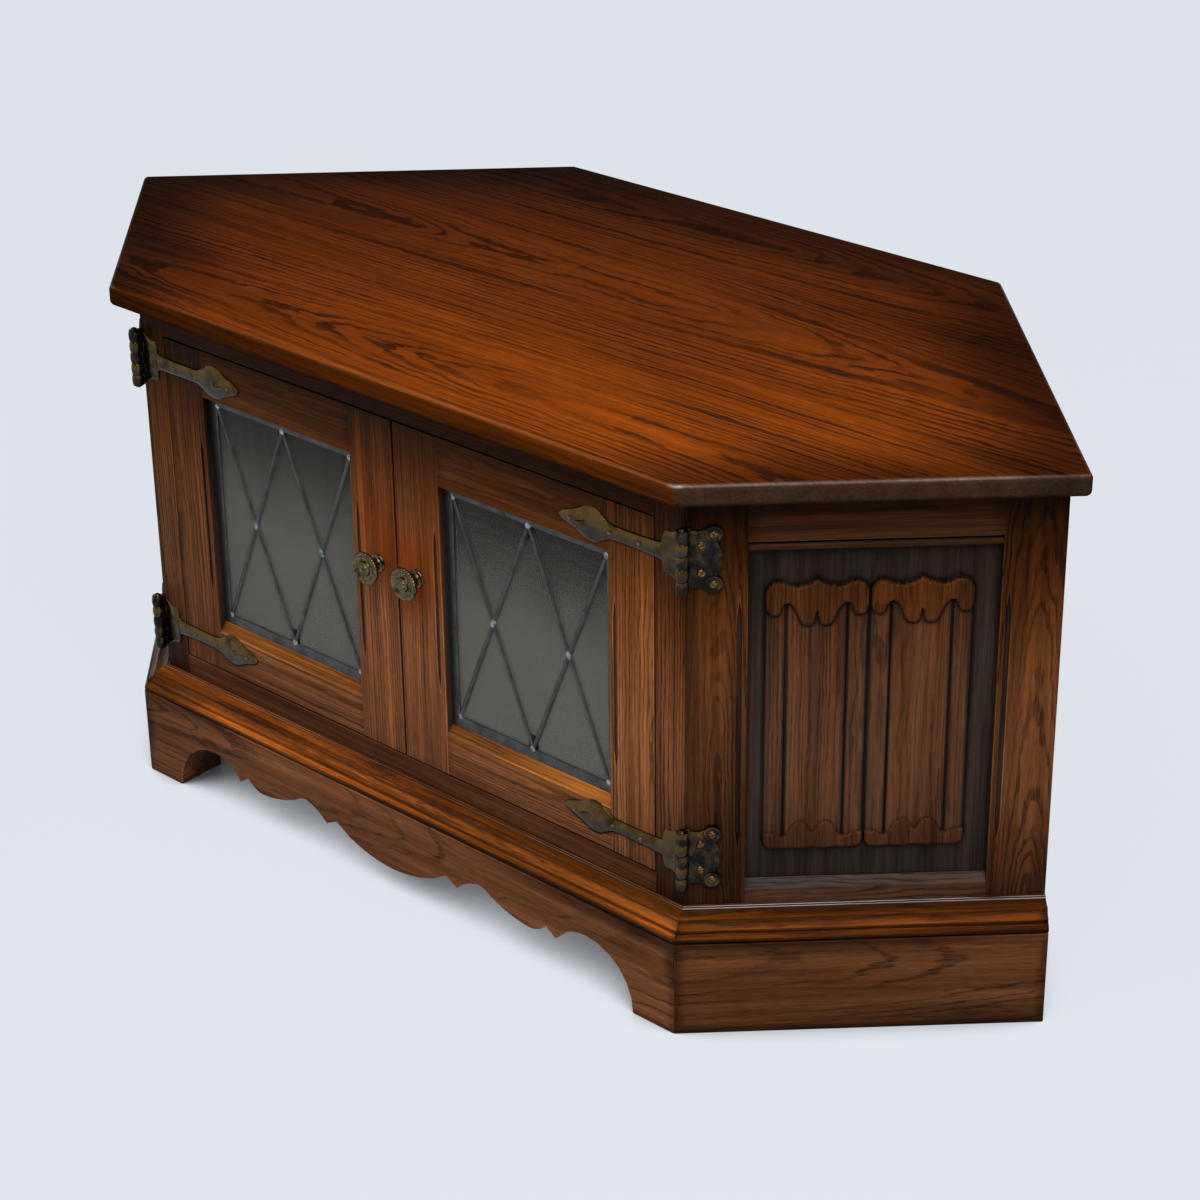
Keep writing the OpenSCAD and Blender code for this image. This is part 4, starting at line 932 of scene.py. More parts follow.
def pillow(depth, height, rounding):
    """Rise of a rounded form at a distance inside its outline."""
    t = np.clip(depth / rounding, 0, 1)
    shoulder = np.sqrt(np.clip(1 - (1 - t) ** 2, 0, 1))
    return height * (0.72 * smooth_step(depth, -0.5, 0.5) + 0.28 * shoulder)


def beside(depth, width):
    """Falls from 1 at an outline towards 0 within about two widths outside it."""
    return np.exp(-(np.clip(-depth, 0, None) / width) ** 2)


def carved_relief(u, z, top, foot, rounding):
    """Rise of the carving over the ground in mm, and from 0 to 1 how dark its painted shade
    along carved lines is, with the hems darker.
    """
    rise = np.zeros(len(u))
    line = np.zeros(len(u))
    low, high = np.array(FOLD_SECTION).T
    for way in (-1, 1):
        across = u - way * (FOLD_W + FOLD_GAP) / 2
        here = np.abs(across) < FOLD_W / 2 + 3
        p = np.stack([across[here], z[here]], 1)
        from_middle = np.abs(p[:, 0])
        fold, hem, sole = (
            inside_by(p, lifted(whole(upper), upper_z) + lifted(whole(lower), lower_z)[::-1])
            for upper, upper_z, lower, lower_z in (
                (FOLD_TOP, top, FOLD_FOOT, foot), (FOLD_TOP, top, HEM_TOP, top),
                (HEM_FOOT, foot, FOLD_FOOT, foot),
            )
        )
        cloth = np.interp(-from_middle, low, high) * smooth_step(fold, -0.4, 0.8)
        worked = np.maximum(cloth, pillow(hem, HEM_RISE, rounding))
        worked = np.maximum(worked, pillow(sole, FOOT_RISE, rounding))
        # Painted shade beside the fold's outline, under the hems and along the grooves; hems
        # darker
        near = 0.8 * beside(fold, 2.4) * (fold < 0.3)
        for edge, width, deep in ((hem, 2.2, 1.0), (sole, 1.5, 0.65)):
            near = np.maximum(near, deep * beside(edge, width) * (edge < 0.2) * (fold > 0))
        groove = np.exp(-((from_middle - FOLD_GROOVE) / 1.3) ** 2)
        near = np.maximum(near, 0.6 * groove * ((fold > 0) & (hem < 0) & (sole < 0)))
        near = np.maximum(near, np.where(hem > 0, 0.25, np.where(sole > 0, 0.4, 0)))
        rise[here] = np.maximum(rise[here], worked)
        line[here] = np.maximum(line[here], near)
    return rise, line


def carved_panel(node, side):
    """The carved panel, its front worked as two hanging folds of cloth."""
    wood = bpy.context.scene.cabinet_wood
    low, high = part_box(node)
    thick = (PANEL_BACK - PANEL_SINK + FOLD_RISE) * MM
    width = (high.x - low.x) / DIAGONAL - thick
    height = high.z - low.z
    middle_x = abs(low.x + high.x) / 2 - HALF_W
    middle_u = middle_x / DIAGONAL + (PANEL_BACK + PANEL_SINK - FOLD_RISE) * MM / 2
    middle = Vector((HALF_W, FRONT_Y, (low.z + high.z) / 2)) + ALONG_SIDE * middle_u
    bm = bmesh.new()
    bmesh.ops.create_grid(
        bm, x_segments=round(width / MM), y_segments=round(height / MM), size=1.0
    )
    co = np.array([v.co[:] for v in bm.verts])
    u, z = co[:, 0] * width / 2 / MM, co[:, 1] * height / 2 / MM
    top, foot = height / 2 / MM - FOLD_DROP, FOLD_FOOT_Z - height / 2 / MM
    rise, line = carved_relief(u, z, top, foot, wood.carving_round / MM)
    # Painted shade along the carved lines, kept with each point
    stain_and_painted_light = bm.verts.layers.float.new("carved_line_shade")
    for v, across, up, out, dark in zip(bm.verts, u, z, rise, line):
        v.co = (across * MM, up * MM, (out - PANEL_SINK) * MM)
        v[stain_and_painted_light] = dark
    backed(bm, 2, -PANEL_BACK * MM)
    merged_shape(bm)
    moved(bm, bm.verts, frame_matrix(middle, ALONG_SIDE, Z, -INTO_SIDE))
    mirrored(bm, side)
    piece = new_piece(
        node + "_dressed", bm, BODY_OF[node], "oak_panel", [node], limit=60
    )
    mark_board(
        piece.data, "side_up", side == "left", 31 + SIDES.index(side), (12, 30, 0.03),
        (1.0, 0.5, 0.35),
    )


# ---- Leaded lights


# Half sizes of the solder at the rim and where leads cross, in mm, and how lumpy it is
RIM_SOLDER, CROSSING_SOLDER, SOLDER_LUMP = (3.3, 3.3), (2.9, 4.6), 0.16


def strip_frame(bm, low, high, wide, front, thick, soft):
    """A mitred frame round the light's edge, its face towards the viewer at depth front. Its
    inner arris there is softened. Sizes are in mm."""
    before = set(bm.verts)
    made = bmesh.ops.create_grid(bm, x_segments=1, y_segments=1, size=0.5)["verts"]
    size = Vector((high.x - low.x, high.z - low.z))
    middle = (low + high) / 2
    for v in made:
        v.co = (middle.x + v.co.x * size.x, middle.z + v.co.y * size.y, -front * MM)
    face = made[0].link_faces[0]
    bmesh.ops.inset_region(
        bm, faces=[face], thickness=wide * MM, use_boundary=True, use_even_offset=True
    )
    bmesh.ops.delete(bm, geom=[face], context="FACES")
    ring = [f for f in bm.faces if f.verts[0] not in before]
    for v in points_of(bmesh.ops.extrude_face_region(bm, geom=ring)["geom"]):
        v.co.z -= thick * MM
    if soft:
        picked = [
            e for e in bm.edges
            if e.verts[0] not in before
            and all(abs(v.co.z + front * MM) < 1e-7 for v in e.verts)
            and abs(e.verts[0].co.x - middle.x) < size.x / 2 - 1e-5
            and abs(e.verts[0].co.y - middle.z) < size.y / 2 - 1e-5
            and (abs(e.verts[0].co.x - e.verts[1].co.x) < 1e-7
                 or abs(e.verts[0].co.y - e.verts[1].co.y) < 1e-7)
        ]
        soften(bm, picked, soft * MM, 3)


def came(bm, a, b, width, rise, depth):
    """A half-round lead from a to b, in metres across and up."""
    way = b - a
    made = bmesh.ops.create_cone(
        bm, cap_ends=True, segments=16, radius1=0.5, radius2=0.5, depth=1.0
    )["verts"]
    length = Vector((way.x, way.y, 0)).normalized()
    across = Vector((-length.y, length.x, 0))
    middle = (a + b) / 2
    moved(
        bm, made,
        frame_matrix(Vector((middle.x, middle.y, -depth)), across * width, Z * 2 * rise,
                     length * (way.length + LEAD_LAP * MM)),
    )


def lead_piece(side):
    """The leads of one door: the came round the edge, the crossing leads and the solder."""
    metals = bpy.context.scene.cabinet_metal
    node = f"{side}_door_lead"
    low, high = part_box(node)
    if side == "left":
        low, high = Vector((-high.x, low.y, low.z)), Vector((-low.x, high.y, high.z))
    face = low.y + SOLDER_PROUD * MM
    bm = bmesh.new()
    for wide, front, thick, soft in (
        (LEAD_EDGE, 0, LEAD_LEAF, LEAD_SOFT),
        (LEAD_CORE, LEAD_LEAF, LEAD_UNIT - 2 * LEAD_LEAF, 0),
        (LEAD_EDGE, LEAD_UNIT - LEAD_LEAF, LEAD_LEAF, LEAD_SOFT),
    ):
        strip_frame(bm, low, high, wide, front, thick, soft)
    x0, x1 = low.x + LEAD_EDGE * MM, high.x - LEAD_EDGE * MM
    z0, z1 = low.z + LEAD_EDGE * MM, high.z - LEAD_EDGE * MM
    xm, zm = (x0 + x1) / 2, (z0 + z1) / 2
    for depth in (LEAD_LEAF, LEAD_UNIT - LEAD_LEAF):
        for x in (x0, x1):
            for a, b in ((z0, z1), (z1, z0)):
                came(bm, Vector((x, a)), Vector((xm, b)), metals.came_width, LEAD_LEAF * MM,
                     depth * MM)
    merged_shape(bm)
    place = frame_matrix(Vector((0, face, 0)), X, Z, -Y)
    moved(bm, bm.verts, place)
    mirrored(bm, side)
    new_piece(node + "_dressed", bm, BODY_OF[node], "grey_lead", [node])

    draw = random.Random(7)
    bm = bmesh.new()
    joints = [(x, z, *RIM_SOLDER) for x in (x0, xm, x1) for z in (z0, z1)]
    joints += [((x + xm) / 2, zm, *CROSSING_SOLDER) for x in (x0, x1)]
    for x, z, wide, tall in joints:
        made = bmesh.ops.create_icosphere(bm, subdivisions=3, radius=1.0)["verts"]
        turn = draw.uniform(-0.5, 0.5)
        for v in made:
            wave = math.sin(3 * v.co.x + 5 * v.co.y + turn * 9) * math.cos(4 * v.co.z)
            lump = 1 + SOLDER_LUMP * wave
            v.co = (v.co.x * wide * lump * MM, v.co.y * tall * lump * MM,
                    v.co.z * SOLDER_PROUD * 1.9 * MM)
        moved(bm, made, Matrix.Translation((x, z, -SOLDER_PROUD * MM))
              @ Matrix.Rotation(turn, 4, "Z"))
    moved(bm, bm.verts, place)
    mirrored(bm, side)
    new_piece(f"{side}_door_solder", bm, BODY_OF[node], "bright_solder")


# ---- Hinges and knobs

# Strap from its tip to its root, as [distance from the pin, half width, crown] in mm
STRAP = [(136, 0.4, 0.2), (135.2, 1.6, 0.5), (133.5, 3.4, 0.9), (130, 5.4, 1.2),
         (124, 7.6, 1.5), (118, 9.6, 1.8), (113, 12, 1.9), (108, 14.6, 1.9), (104, 15.5, 1.9),
         (99, 15.5, 1.9), (95.5, 14.9, 1.9), (92, 13.2, 1.8), (89, 11.2, 1.7),
         (86, 9.5, 1.6), (83, 8.1, 1.6), (80, 7.1, 1.6), (75, 6.5, 1.6), (60, 6.4, 1.5),
         (48, 6.6, 1.5), (34, 7, 1.4), (27, 7.6, 1.3), (25, 9, 1.0), (24.4, 14, 0.7),
         (23.4, 17.4, 0.5), (21.4, 19.1, 0.5), (19, 18.8, 0.5), (17, 18.6, 0.4),
         (12, 20.6, 0.3), (8.5, 22.6, 0.2), (6.3, 25, 0.2)]
# Eye in the strap's head: its round end and its point, as distances from the pin, its radius,
# its depth and its lip; then the distances between which the round shank turns into the ridged
# head, all in mm
EYE_AT, EYE_POINT, EYE_R, EYE_DEEP, EYE_LIP = 106.5, 116, 2.9, 1.5, 0.35
SHANK_END, RIDGE_START = 84, 96
# Knuckle of a barrel as [radius, share of its length]
KNUCKLE = [(PIN_R, 0), (4.5, 0), (4.9, 0.05), (5.3, 0.2), (5.55, 0.38), (KNUCKLE_R, 0.5),
           (5.55, 0.62), (5.3, 0.8), (4.9, 0.95), (4.5, 1), (PIN_R, 1)]
# Domed ear of a hinge plate round its screw, as [radius, height over the face]
EAR = [(7.4, 1.6), (7.45, 2.5), (7.1, 3.15), (6.3, 3.5), (5.4, 3.45), (4.7, 3.0), (4.3, 2.75),
       (3.6, 2.7), (1.6, 2.7)]
# Half of a screw's head beside its slot, and a nail's head, as [radius, height]
SCREW = [(0, 0), (3.0, 0), (3.05, 0.35), (2.7, 0.9), (2.0, 1.25), (1.0, 1.45), (0, 1.5)]
NAIL = [(0, 0), (1.9, 0), (2.0, 0.35), (1.75, 0.85), (1.1, 1.15), (0, 1.25)]
# Half of the slot's width, and the screw's core under it as [radius, upper radius, height]
SLOT_HALF, SCREW_CORE = 0.4, (2.9, 2.5, 0.7)
# Knob as [radius, distance from the door]
KNOB = [(0, -12), (2.2, -12), (2.2, 0), (8, 0), (8.3, 0.7), (7.9, 1.4), (6.6, 1.9),
        (5.6, 3.2), (5.1, 5), (5.1, 6.6), (5.6, 8.2), (6.6, 9.2), (7.4, 9.5), (7.6, 10.1),
        (9, 10.9), (11.6, 11.8), (13.6, 12.9), (14.9, 14), (15.45, 15), (15.5, 15.9),
        (15.2, 16.9), (14.5, 17.6), (13.6, 18), (12.7, 17.9), (11.8, 17.3), (10.8, 16.2),
        (9.6, 15.3), (8.4, 15), (7.2, 15.2), (6.4, 15.8), (6.1, 16.5), (5.8, 17.2),
        (5.2, 17.5), (4.6, 17.6), (4.1, 18.2), (3.4, 19.2), (2.4, 19.9), (1.2, 20.2), (0, 20.2)]
# Beads of the knob's rim: their ring's radius and half width, how deep they are cut, and how
# far from the door they start, in mm
BEAD_R, BEAD_W, BEAD_DEEP, BEAD_FROM = 14.6, 1.1, 0.5, 13.5


def knuckle(bm, k):
    """Knuckle number k of a hinge barrel, about its pin, and the tongue that joins it to the
    leaf on the door's face."""
    pitch = BARREL_L / KNUCKLES
    base = -BARREL_L / 2 + k * pitch + SNUG / 2
    turned(bm, [(r, base + share * (pitch - SNUG)) for r, share in KNUCKLE], 36)
    made = bmesh.ops.create_cube(bm, size=1.0)["verts"]
    size = Vector((TONGUE_W, PLATE_T, pitch - SNUG)) * MM
    middle = Vector((-TONGUE_W / 2, PIVOT_OUT - PLATE_T / 2, (k + 0.5) * pitch - BARREL_L / 2))
    bmesh.ops.scale(bm, vec=size, verts=made)
    moved(bm, made, Matrix.Translation(middle * MM))
    edges = dict.fromkeys(e for v in made for e in v.link_edges)
    soften(bm, list(edges), 0.4 * MM)


def strap_piece(side, node):
    """A strap with its leaf-shaped head, its ridge and eye, and its two knuckles."""
    bm = bmesh.new()
    lengthwise, crosswise = 170, 36
    bmesh.ops.create_grid(bm, x_segments=lengthwise, y_segments=crosswise, size=1.0)
    s, half, crown = np.array(STRAP)[::-1].T
    steps = np.linspace(0, 1, len(s))
    for v in bm.verts:
        share, across = (v.co.x + 1) / 2, v.co.y
        at = float(np.interp(share, steps, s))
        wide = float(np.interp(at, s, half))
        rise = float(np.interp(at, s, crown))
        ridge = float(smooth_step(at, SHANK_END, RIDGE_START))
        up = abs(across)
        round_arch, flat_arch = (math.sqrt(max(0, 1 - up ** n)) for n in (2, 4))
        arch = (1 - ridge) * round_arch + ridge * (0.75 * (1 - up ** 1.2) + 0.25 * flat_arch)
        out = LEAF_RIM + (LEAF_T - LEAF_RIM) * flat_arch + rise * arch
        z = wide * across
        t = min(max((at - EYE_AT) / (EYE_POINT - EYE_AT), 0), 1)
        eye = EYE_R * (1 - t) - math.hypot(at - EYE_AT - t * (EYE_POINT - EYE_AT), z)
        out -= EYE_DEEP * float(smooth_step(eye, -0.3, 1.0))
        out += EYE_LIP * math.exp(-((eye + 1.1) / 0.7) ** 2)
        v.co = (-at * MM, -out * MM, z * MM)
    backed(bm, 1, 0)
    moved(bm, bm.verts, Matrix.Translation((0, PIVOT_OUT * MM, 0)))
    for k in (1, 3):
        knuckle(bm, k)
    merged_shape(bm)
    moved(bm, bm.verts, Matrix.Translation(PIVOT + Z * hinge_z(node)))
    mirrored(bm, side)
    new_piece(node + "_dressed", bm, BODY_OF[node], "strap_bronze", [node])


def plate_piece(side, node):
    """A hinge plate on the canted side, with its domed ears and three knuckles."""
    bm = welded(node)
    ease(bm, 0.5 * MM, shortest=0.8 * MM, sharper=50)
    worked = bmesh.new()
    for along, up, _ in PLATE_SCREWS[:2]:
        made = turned(worked, EAR, 40)
        moved(worked, made, Matrix.Translation((along * MM, up * MM, 0)))
    merged_shape(worked)
    moved(worked, worked.verts, on_side(hinge_z(node)))
    mirrored(worked, side)
    joined(bm, worked)
    new_piece(node + "_dressed", bm, BODY_OF[node], "plate_bronze", [node])


def screw_head(bm, where, slot_turn):
    """A domed screw head, its slot turned by an angle."""
    for half in (0, math.pi):
        made = turned(bm, SCREW, 14, math.pi)
        moved(bm, made, Matrix.Translation((0, SLOT_HALF * MM, 0)))
        moved(bm, made, where @ Matrix.Rotation(half + slot_turn, 4, "Z"))
    lower, upper, height = (size * MM for size in SCREW_CORE)
    core = bmesh.ops.create_cone(
        bm, cap_ends=True, segments=24, radius1=lower, radius2=upper, depth=height
    )["verts"]
    moved(bm, core, where @ Matrix.Translation((0, 0, height / 2)))


def screws_piece():
    draw = random.Random(11)
    bm = bmesh.new()
    for side in SIDES:
        half = bmesh.new()
        for level in LEVELS:
            middle = on_side(hinge_z(f"hinge_plate_{level}_{side}"))
            for along, up, seat in PLATE_SCREWS:
                seated = Matrix.Translation((along * MM, up * MM, (seat - 0.2) * MM))
                screw_head(half, middle @ seated, draw.uniform(0, math.pi))
        merged_shape(half)
        mirrored(half, side)
        joined(bm, half)
    new_piece("hinge_screws_dressed", bm, BODY_OF["hinge_screws"], "worn_brass",
              ["hinge_screws"])


def nails_piece(side):
    node = f"{side}_strap_nails"
    bm = bmesh.new()
    for level in LEVELS:
        z = hinge_z(f"{side}_strap_{level}")
        for at in NAILS:
            crown = np.interp(at, *np.array(STRAP)[::-1].T[[0, 2]])
            seat = Vector((PIVOT.x - at * MM, FRONT_Y - (LEAF_T + crown * 0.9) * MM, z))
            moved(bm, turned(bm, NAIL, 20), frame_matrix(seat, X, Z, -Y))
    merged_shape(bm)
    mirrored(bm, side)
    new_piece(node + "_dressed", bm, BODY_OF[node], "worn_brass", [node])


def knob_piece(side):
    """A turned knob with a beaded rim and a button in its dish."""
    node = f"{side}_door_knob"
    low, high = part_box(node)
    beads = bpy.context.scene.cabinet_metal.rim_beads
    bm = bmesh.new()
    for v in turned(bm, KNOB, beads * 6):
        r, out = math.hypot(v.co.x, v.co.y), v.co.z
        rim = math.exp(-((r / MM - BEAD_R) / BEAD_W) ** 2) * (out > BEAD_FROM * MM)
        between = 1 - abs(math.cos(beads * math.atan2(v.co.y, v.co.x) / 2))
        sunk = BEAD_DEEP * rim * between
        v.co.xy *= 1 - sunk * MM / max(r, MM)
        v.co.z -= sunk * MM
    merged_shape(bm)
    middle = Vector(((low.x + high.x) / 2, FRONT_Y, (low.z + high.z) / 2))
    moved(bm, bm.verts, frame_matrix(middle, X, Z, -Y))
    new_piece(node + "_dressed", bm, BODY_OF[node], "knob_bronze", [node])


# ---- Pieces


class CABINET_OT_materials(bpy.types.Operator):
    """Make the oak, metal and glass finishes"""

    bl_idname = "cabinet.materials"
    bl_label = "Finishes"

    def execute(self, context):
        make_materials(context)
        return {"FINISHED"}


class CABINET_OT_top(bpy.types.Operator):
    """Make the top board with its rounded edges"""

    bl_idname = "cabinet.top_board"
    bl_label = "Top board"

    def execute(self, context):
        top_piece()
        return {"FINISHED"}


class CABINET_OT_carcass(bpy.types.Operator):
    """Make the front and side frames of the carcass"""

    bl_idname = "cabinet.carcass"
    bl_label = "Carcass frames"

    def execute(self, context):
        for i, side in enumerate(SIDES):
            # Levels: lightness (stains and painted light), foot, and painted shadow at the head
            for name, axes, seed, material, figure, stain_and_painted_light, hidden in (
                ("face_stile", "front_up", 11, "oak_frame", (50, 12, 0.01), (0.98, 0.2, 0.2), 0),
                ("side_front_stile", "side_up", 13, "oak_frame", (2, 9, 0.05),
                 (0.88, 0.38, 0.16), 0),
                ("side_back_stile", "side_up", 15, "oak_frame", (9, 22, 0.07),
                 (0.82, 0.42, 0.2), 0),
                ("side_top_rail", "side_across", 17, "oak_beaded_rail", (20, 12, 0.02),
                 (0.55, 1, 1), TENON),
                ("side_bottom_rail", "side_across", 19, "oak_side_sill", (30, 12, 0.01),
                 (1.0, 0.6, 1), TENON),
            ):
                dress_board(f"{name}_{side}", axes, seed + i, material, "frame_oak", figure,
                            stain_and_painted_light, hidden, sharper=50 if name == "side_top_rail" else 35)
        dress_board("face_top_rail", "front_across", 21, "oak_rail", "frame_oak",
                    (18, 10, 0.02), (1.2, 1, 0.16), TENON)
        dress_board("face_bottom_rail", "front_across", 22, "oak_rail", "frame_oak",
                    (-24, 12, 0.02), (1.0, 0.6, 1), TENON)
        return {"FINISHED"}


class CABINET_OT_panels(bpy.types.Operator):
    """Make the carved linenfold panels"""

    bl_idname = "cabinet.linenfold"
    bl_label = "Linenfold panels"

    def execute(self, context):
        for side in SIDES:
            carved_panel(f"linenfold_panel_{side}", side)
        return {"FINISHED"}


class CABINET_OT_base(bpy.types.Operator):
    """Make the plinth with its shaped apron, and the moulding on it"""

    bl_idname = "cabinet.base"
    bl_label = "Plinth and moulding"

    def execute(self, context):
        for name, axes, seed, stain_and_painted_light in (("front", "front_across", 41, 2.0),
                                        ("left", "side_across", 43, 0.75),
                                        ("right", "side_across", 44, 0.75)):
            dress_board(
                f"plinth_{name}", axes, seed, "oak_plinth", "frame_oak", (30, 40, 0.10),
                (0.62 + 0.28 * stain_and_painted_light, 1, 1),
                all_round=True, shortest=1.5 * MM, width=1 * MM,
            )
            # Its second level sets the painted highlight, faint in front and strong on the sides
            dress_board(
                f"base_moulding_{name}", axes, seed + 4, "oak_moulding", "frame_oak",
                (40, 18, 0.02), (stain_and_painted_light, 0.8 / stain_and_painted_light ** 2, 1),
                width=0.5 * MM, shortest=20 * MM, sharper=30,
            )
        return {"FINISHED"}


class CABINET_OT_inside(bpy.types.Operator):
    """Make the back panels, the posts, the floor and the blocks inside"""

    bl_idname = "cabinet.inside"
    bl_label = "Back and inside"

    def execute(self, context):
        for i, side in enumerate(SIDES):
            dress_board(f"back_panel_{side}", "wall_up", 51 + i, "back_ply", "back_board")
            dress_board(f"back_post_{side}", "back_up", 53 + i, "plain_pine", "plain_wood")
        dress_board("back_panel_centre", "back_up", 55, "back_ply", "back_board")
        dress_board("floor_board", "flat", 56, "floor_wood", "floor_oak")
        dress_board("base_rails", "back_up", 57, "plain_pine", "plain_wood")
        dress_board("glue_blocks", "back_up", 58, "plain_pine", "plain_wood")
        repaint("magnet_catch", "catch_plastic")
        return {"FINISHED"}


class CABINET_OT_doors(bpy.types.Operator):
    """Make the frames of both doors"""

    bl_idname = "cabinet.doors"
    bl_label = "Doors"

    def execute(self, context):
        for i, side in enumerate(SIDES):
            # Levels: lightness (stains and painted light), foot, and painted shadow at the head
            for name, axes, seed, material, figure, stain_and_painted_light, hidden in (
                ("hinge_stile", "front_up", 61, "oak_frame", (22, 9, 0.02),
                 ((0.9, 0.75, 0.12), (2.2, 0.6, 0.2))[i], 0),
                ("meeting_stile", "front_up", 63, "oak_frame", (70, 16, 0.01),
                 ((1.85, 1.0, 0.12), (1.5, 0.85, 0.13))[i], 0),
                ("top_rail", "front_across", 65, "oak_rail", (10, 10, 0.03),
                 (1.45, 1, 0.16), TENON),
                ("bottom_rail", "front_across", 67, "oak_door_sill", (4, 3, 0.01),
                 (1.45, 0.75, 1), TENON),
                ("glazing_beads", "front_up", 69, "oak_frame", (60, 12, 0), (0.8, 1, 0.4), 0),
            ):
                dress_board(f"{side}_door_{name}", axes, seed + i, material, "frame_oak",
                            figure, stain_and_painted_light, hidden)
            repaint(f"{side}_catch_strike", "strike_steel")
        return {"FINISHED"}


class CABINET_OT_lights(bpy.types.Operator):
    """Make the leaded lights of both doors"""

    bl_idname = "cabinet.leaded_lights"
    bl_label = "Leaded lights"

    def execute(self, context):
        for side in SIDES:
            repaint(f"{side}_door_glass", "old_glass")
            lead_piece(side)
        return {"FINISHED"}


class CABINET_OT_hardware(bpy.types.Operator):
    """Make the strap hinges with their screws and nails, and the knobs"""

    bl_idname = "cabinet.hardware"
    bl_label = "Hinges and knobs"

    def execute(self, context):
        for side in SIDES:
            for level in LEVELS:
                strap_piece(side, f"{side}_strap_{level}")
                plate_piece(side, f"hinge_plate_{level}_{side}")
            nails_piece(side)
            knob_piece(side)
        screws_piece()
        repaint("hinge_pins", "plate_bronze")
        return {"FINISHED"}


class CABINET_OT_stage(bpy.types.Operator):
    """Make the pale floor and backdrop, the soft lamps and the camera"""

    bl_idname = "cabinet.stage"
    bl_label = "Stage"

    def execute(self, context):
        scene = context.scene
        stage = scene.cabinet_stage
        add_lamp("key_lamp", "AREA", stage.key_light, KEY_AT, KEY_AWAY, size=KEY_WIDTH)
        add_lamp("fill_lamp", "SUN", stage.fill_light, FILL_AT, FILL_AWAY, angle=FILL_SPREAD)
        world = scene.world or bpy.data.worlds.new("room")
        scene.world = world
        world.use_nodes = True
        sky = world.node_tree.nodes["Background"]
        sky.inputs["Color"].default_value = (0.94, 0.97, 1.0, 1.0)
        sky.inputs["Strength"].default_value = stage.room_light

        pale = tuple(stage.backdrop_colour)
        tree, shader = new_material("pale_floor")
        tree.nodes.remove(shader)
        speck = noise(tree, add(tree, "TexCoord").outputs["Object"], (3, 3, 3))
        tint = mixed(tree, speck, rgba(pale, 0.99), rgba(pale))
        # Painted shadow: the floor's glow dims where ambient occlusion finds the cabinet near
        open_to = add(tree, "AmbientOcclusion", {"Distance": SHADE_REACH}, samples=24)
        glow = span(tree, open_to.outputs["AO"], 0.30, 0.60, SHADE_GLOW, OPEN_GLOW)
        plain = blend(
            tree, GLOW_SHARE, add(tree, "BsdfDiffuse", {"Color": tint}),
            add(tree, "Emission", {"Color": rgba(pale), "Strength": glow}),
        )
        dim = add(tree, "BsdfDiffuse", {"Color": rgba(pale, 0.4)})
        show(tree, blend(tree, seen_rays(tree), dim, plain))
        bm = bmesh.new()
        bmesh.ops.create_grid(bm, x_segments=8, y_segments=8, size=FLOOR_HALF)
        linked_object("floor", bm, "pale_floor")

        tree, shader = new_material("pale_backdrop")
        tree.nodes.remove(shader)
        show(tree, blend(
            tree, seen_rays(tree), add(tree, "BsdfTransparent"),
            add(tree, "Emission", {"Color": rgba(pale), "Strength": 1.0}),
        ))
        bm = bmesh.new()
        bmesh.ops.create_cone(
            bm, cap_ends=False, segments=96, radius1=BACKDROP_R, radius2=BACKDROP_R,
            depth=BACKDROP_H, matrix=Matrix.Translation((0, 0, BACKDROP_H / 2)),
        )
        linked_object("backdrop", bm, "pale_backdrop")

        camera = bpy.data.cameras.new("camera")
        camera.sensor_width, camera.lens = SENSOR, LENS
        holder = bpy.data.objects.new("camera", camera)
        holder.matrix_world = frame_matrix(
            CAMERA_AT, CAMERA_RIGHT, -CAMERA_DOWN, CAMERA_RIGHT.cross(-CAMERA_DOWN)
        )
        scene.collection.objects.link(holder)
        scene.camera = holder
        scene.view_settings.view_transform = "Standard"
        return {"FINISHED"}


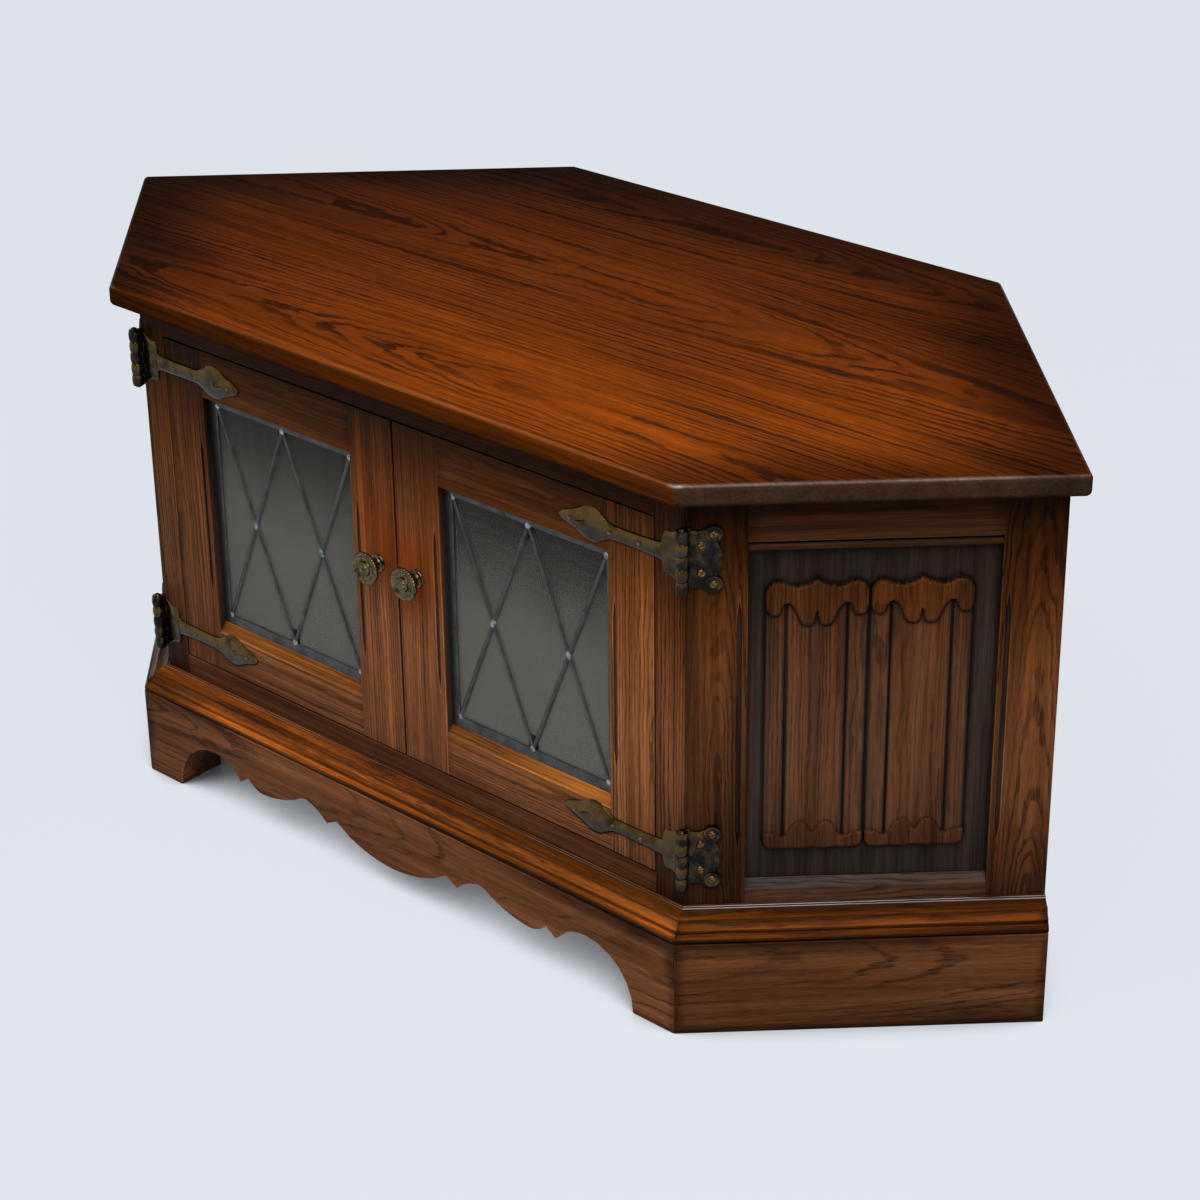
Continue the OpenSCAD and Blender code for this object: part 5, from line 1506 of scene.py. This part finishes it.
def add_lamp(name, kind, energy, direction, distance, **settings):
    """A lamp in a direction, given as azimuth and elevation in degrees, aimed at the cabinet."""
    lamp = bpy.data.lights.new(name, kind)
    lamp.energy = energy
    for key, value in settings.items():
        setattr(lamp, key, value)
    holder = bpy.data.objects.new(name, lamp)
    a, e = (math.radians(v) for v in direction)
    to_lamp = Vector((math.sin(a) * math.cos(e), -math.cos(a) * math.cos(e), math.sin(e)))
    holder.rotation_mode = "QUATERNION"
    holder.rotation_quaternion = to_lamp.to_track_quat("Z", "Y")
    holder.location = to_lamp * distance
    bpy.context.scene.collection.objects.link(holder)


def seen_rays(tree):
    """1 for rays from the camera, and for those seen in metal and through glass."""
    rays = add(tree, "LightPath").outputs
    return calc(
        tree, "MAXIMUM", rays["Is Camera Ray"],
        calc(tree, "MAXIMUM", rays["Is Glossy Ray"], rays["Is Transmission Ray"]),
    )


class CABINET_PT_sidebar(bpy.types.Panel):
    """Sizes, colours and pieces of the corner cabinet"""

    bl_label = "Corner Cabinet"
    bl_idname = "CABINET_PT_sidebar"
    bl_space_type = "VIEW_3D"
    bl_region_type = "UI"
    bl_category = "Cabinet"

    def draw(self, context):
        layout = self.layout
        for group in ("cabinet_wood", "cabinet_metal", "cabinet_stage"):
            settings = getattr(context.scene, group)
            box = layout.box()
            for name in settings.__annotations__:
                box.prop(settings, name)
        for operator in OPERATORS:
            layout.operator(operator.bl_idname)


OPERATORS = (
    CABINET_OT_materials, CABINET_OT_stage, CABINET_OT_top, CABINET_OT_carcass,
    CABINET_OT_panels, CABINET_OT_base, CABINET_OT_inside, CABINET_OT_doors,
    CABINET_OT_lights, CABINET_OT_hardware,
)
CLASSES = (CabinetWood, CabinetMetal, CabinetStage, *OPERATORS, CABINET_PT_sidebar)


def register():
    for cls in CLASSES:
        bpy.utils.register_class(cls)
    bpy.types.Scene.cabinet_wood = PointerProperty(type=CabinetWood)
    bpy.types.Scene.cabinet_metal = PointerProperty(type=CabinetMetal)
    bpy.types.Scene.cabinet_stage = PointerProperty(type=CabinetStage)


def unregister():
    del bpy.types.Scene.cabinet_stage
    del bpy.types.Scene.cabinet_metal
    del bpy.types.Scene.cabinet_wood
    for cls in reversed(CLASSES):
        bpy.utils.unregister_class(cls)


def main():
    register()
    for operator in OPERATORS:
        group, name = operator.bl_idname.split(".")
        getattr(getattr(bpy.ops, group), name)()


if __name__ == "__main__":
    main()
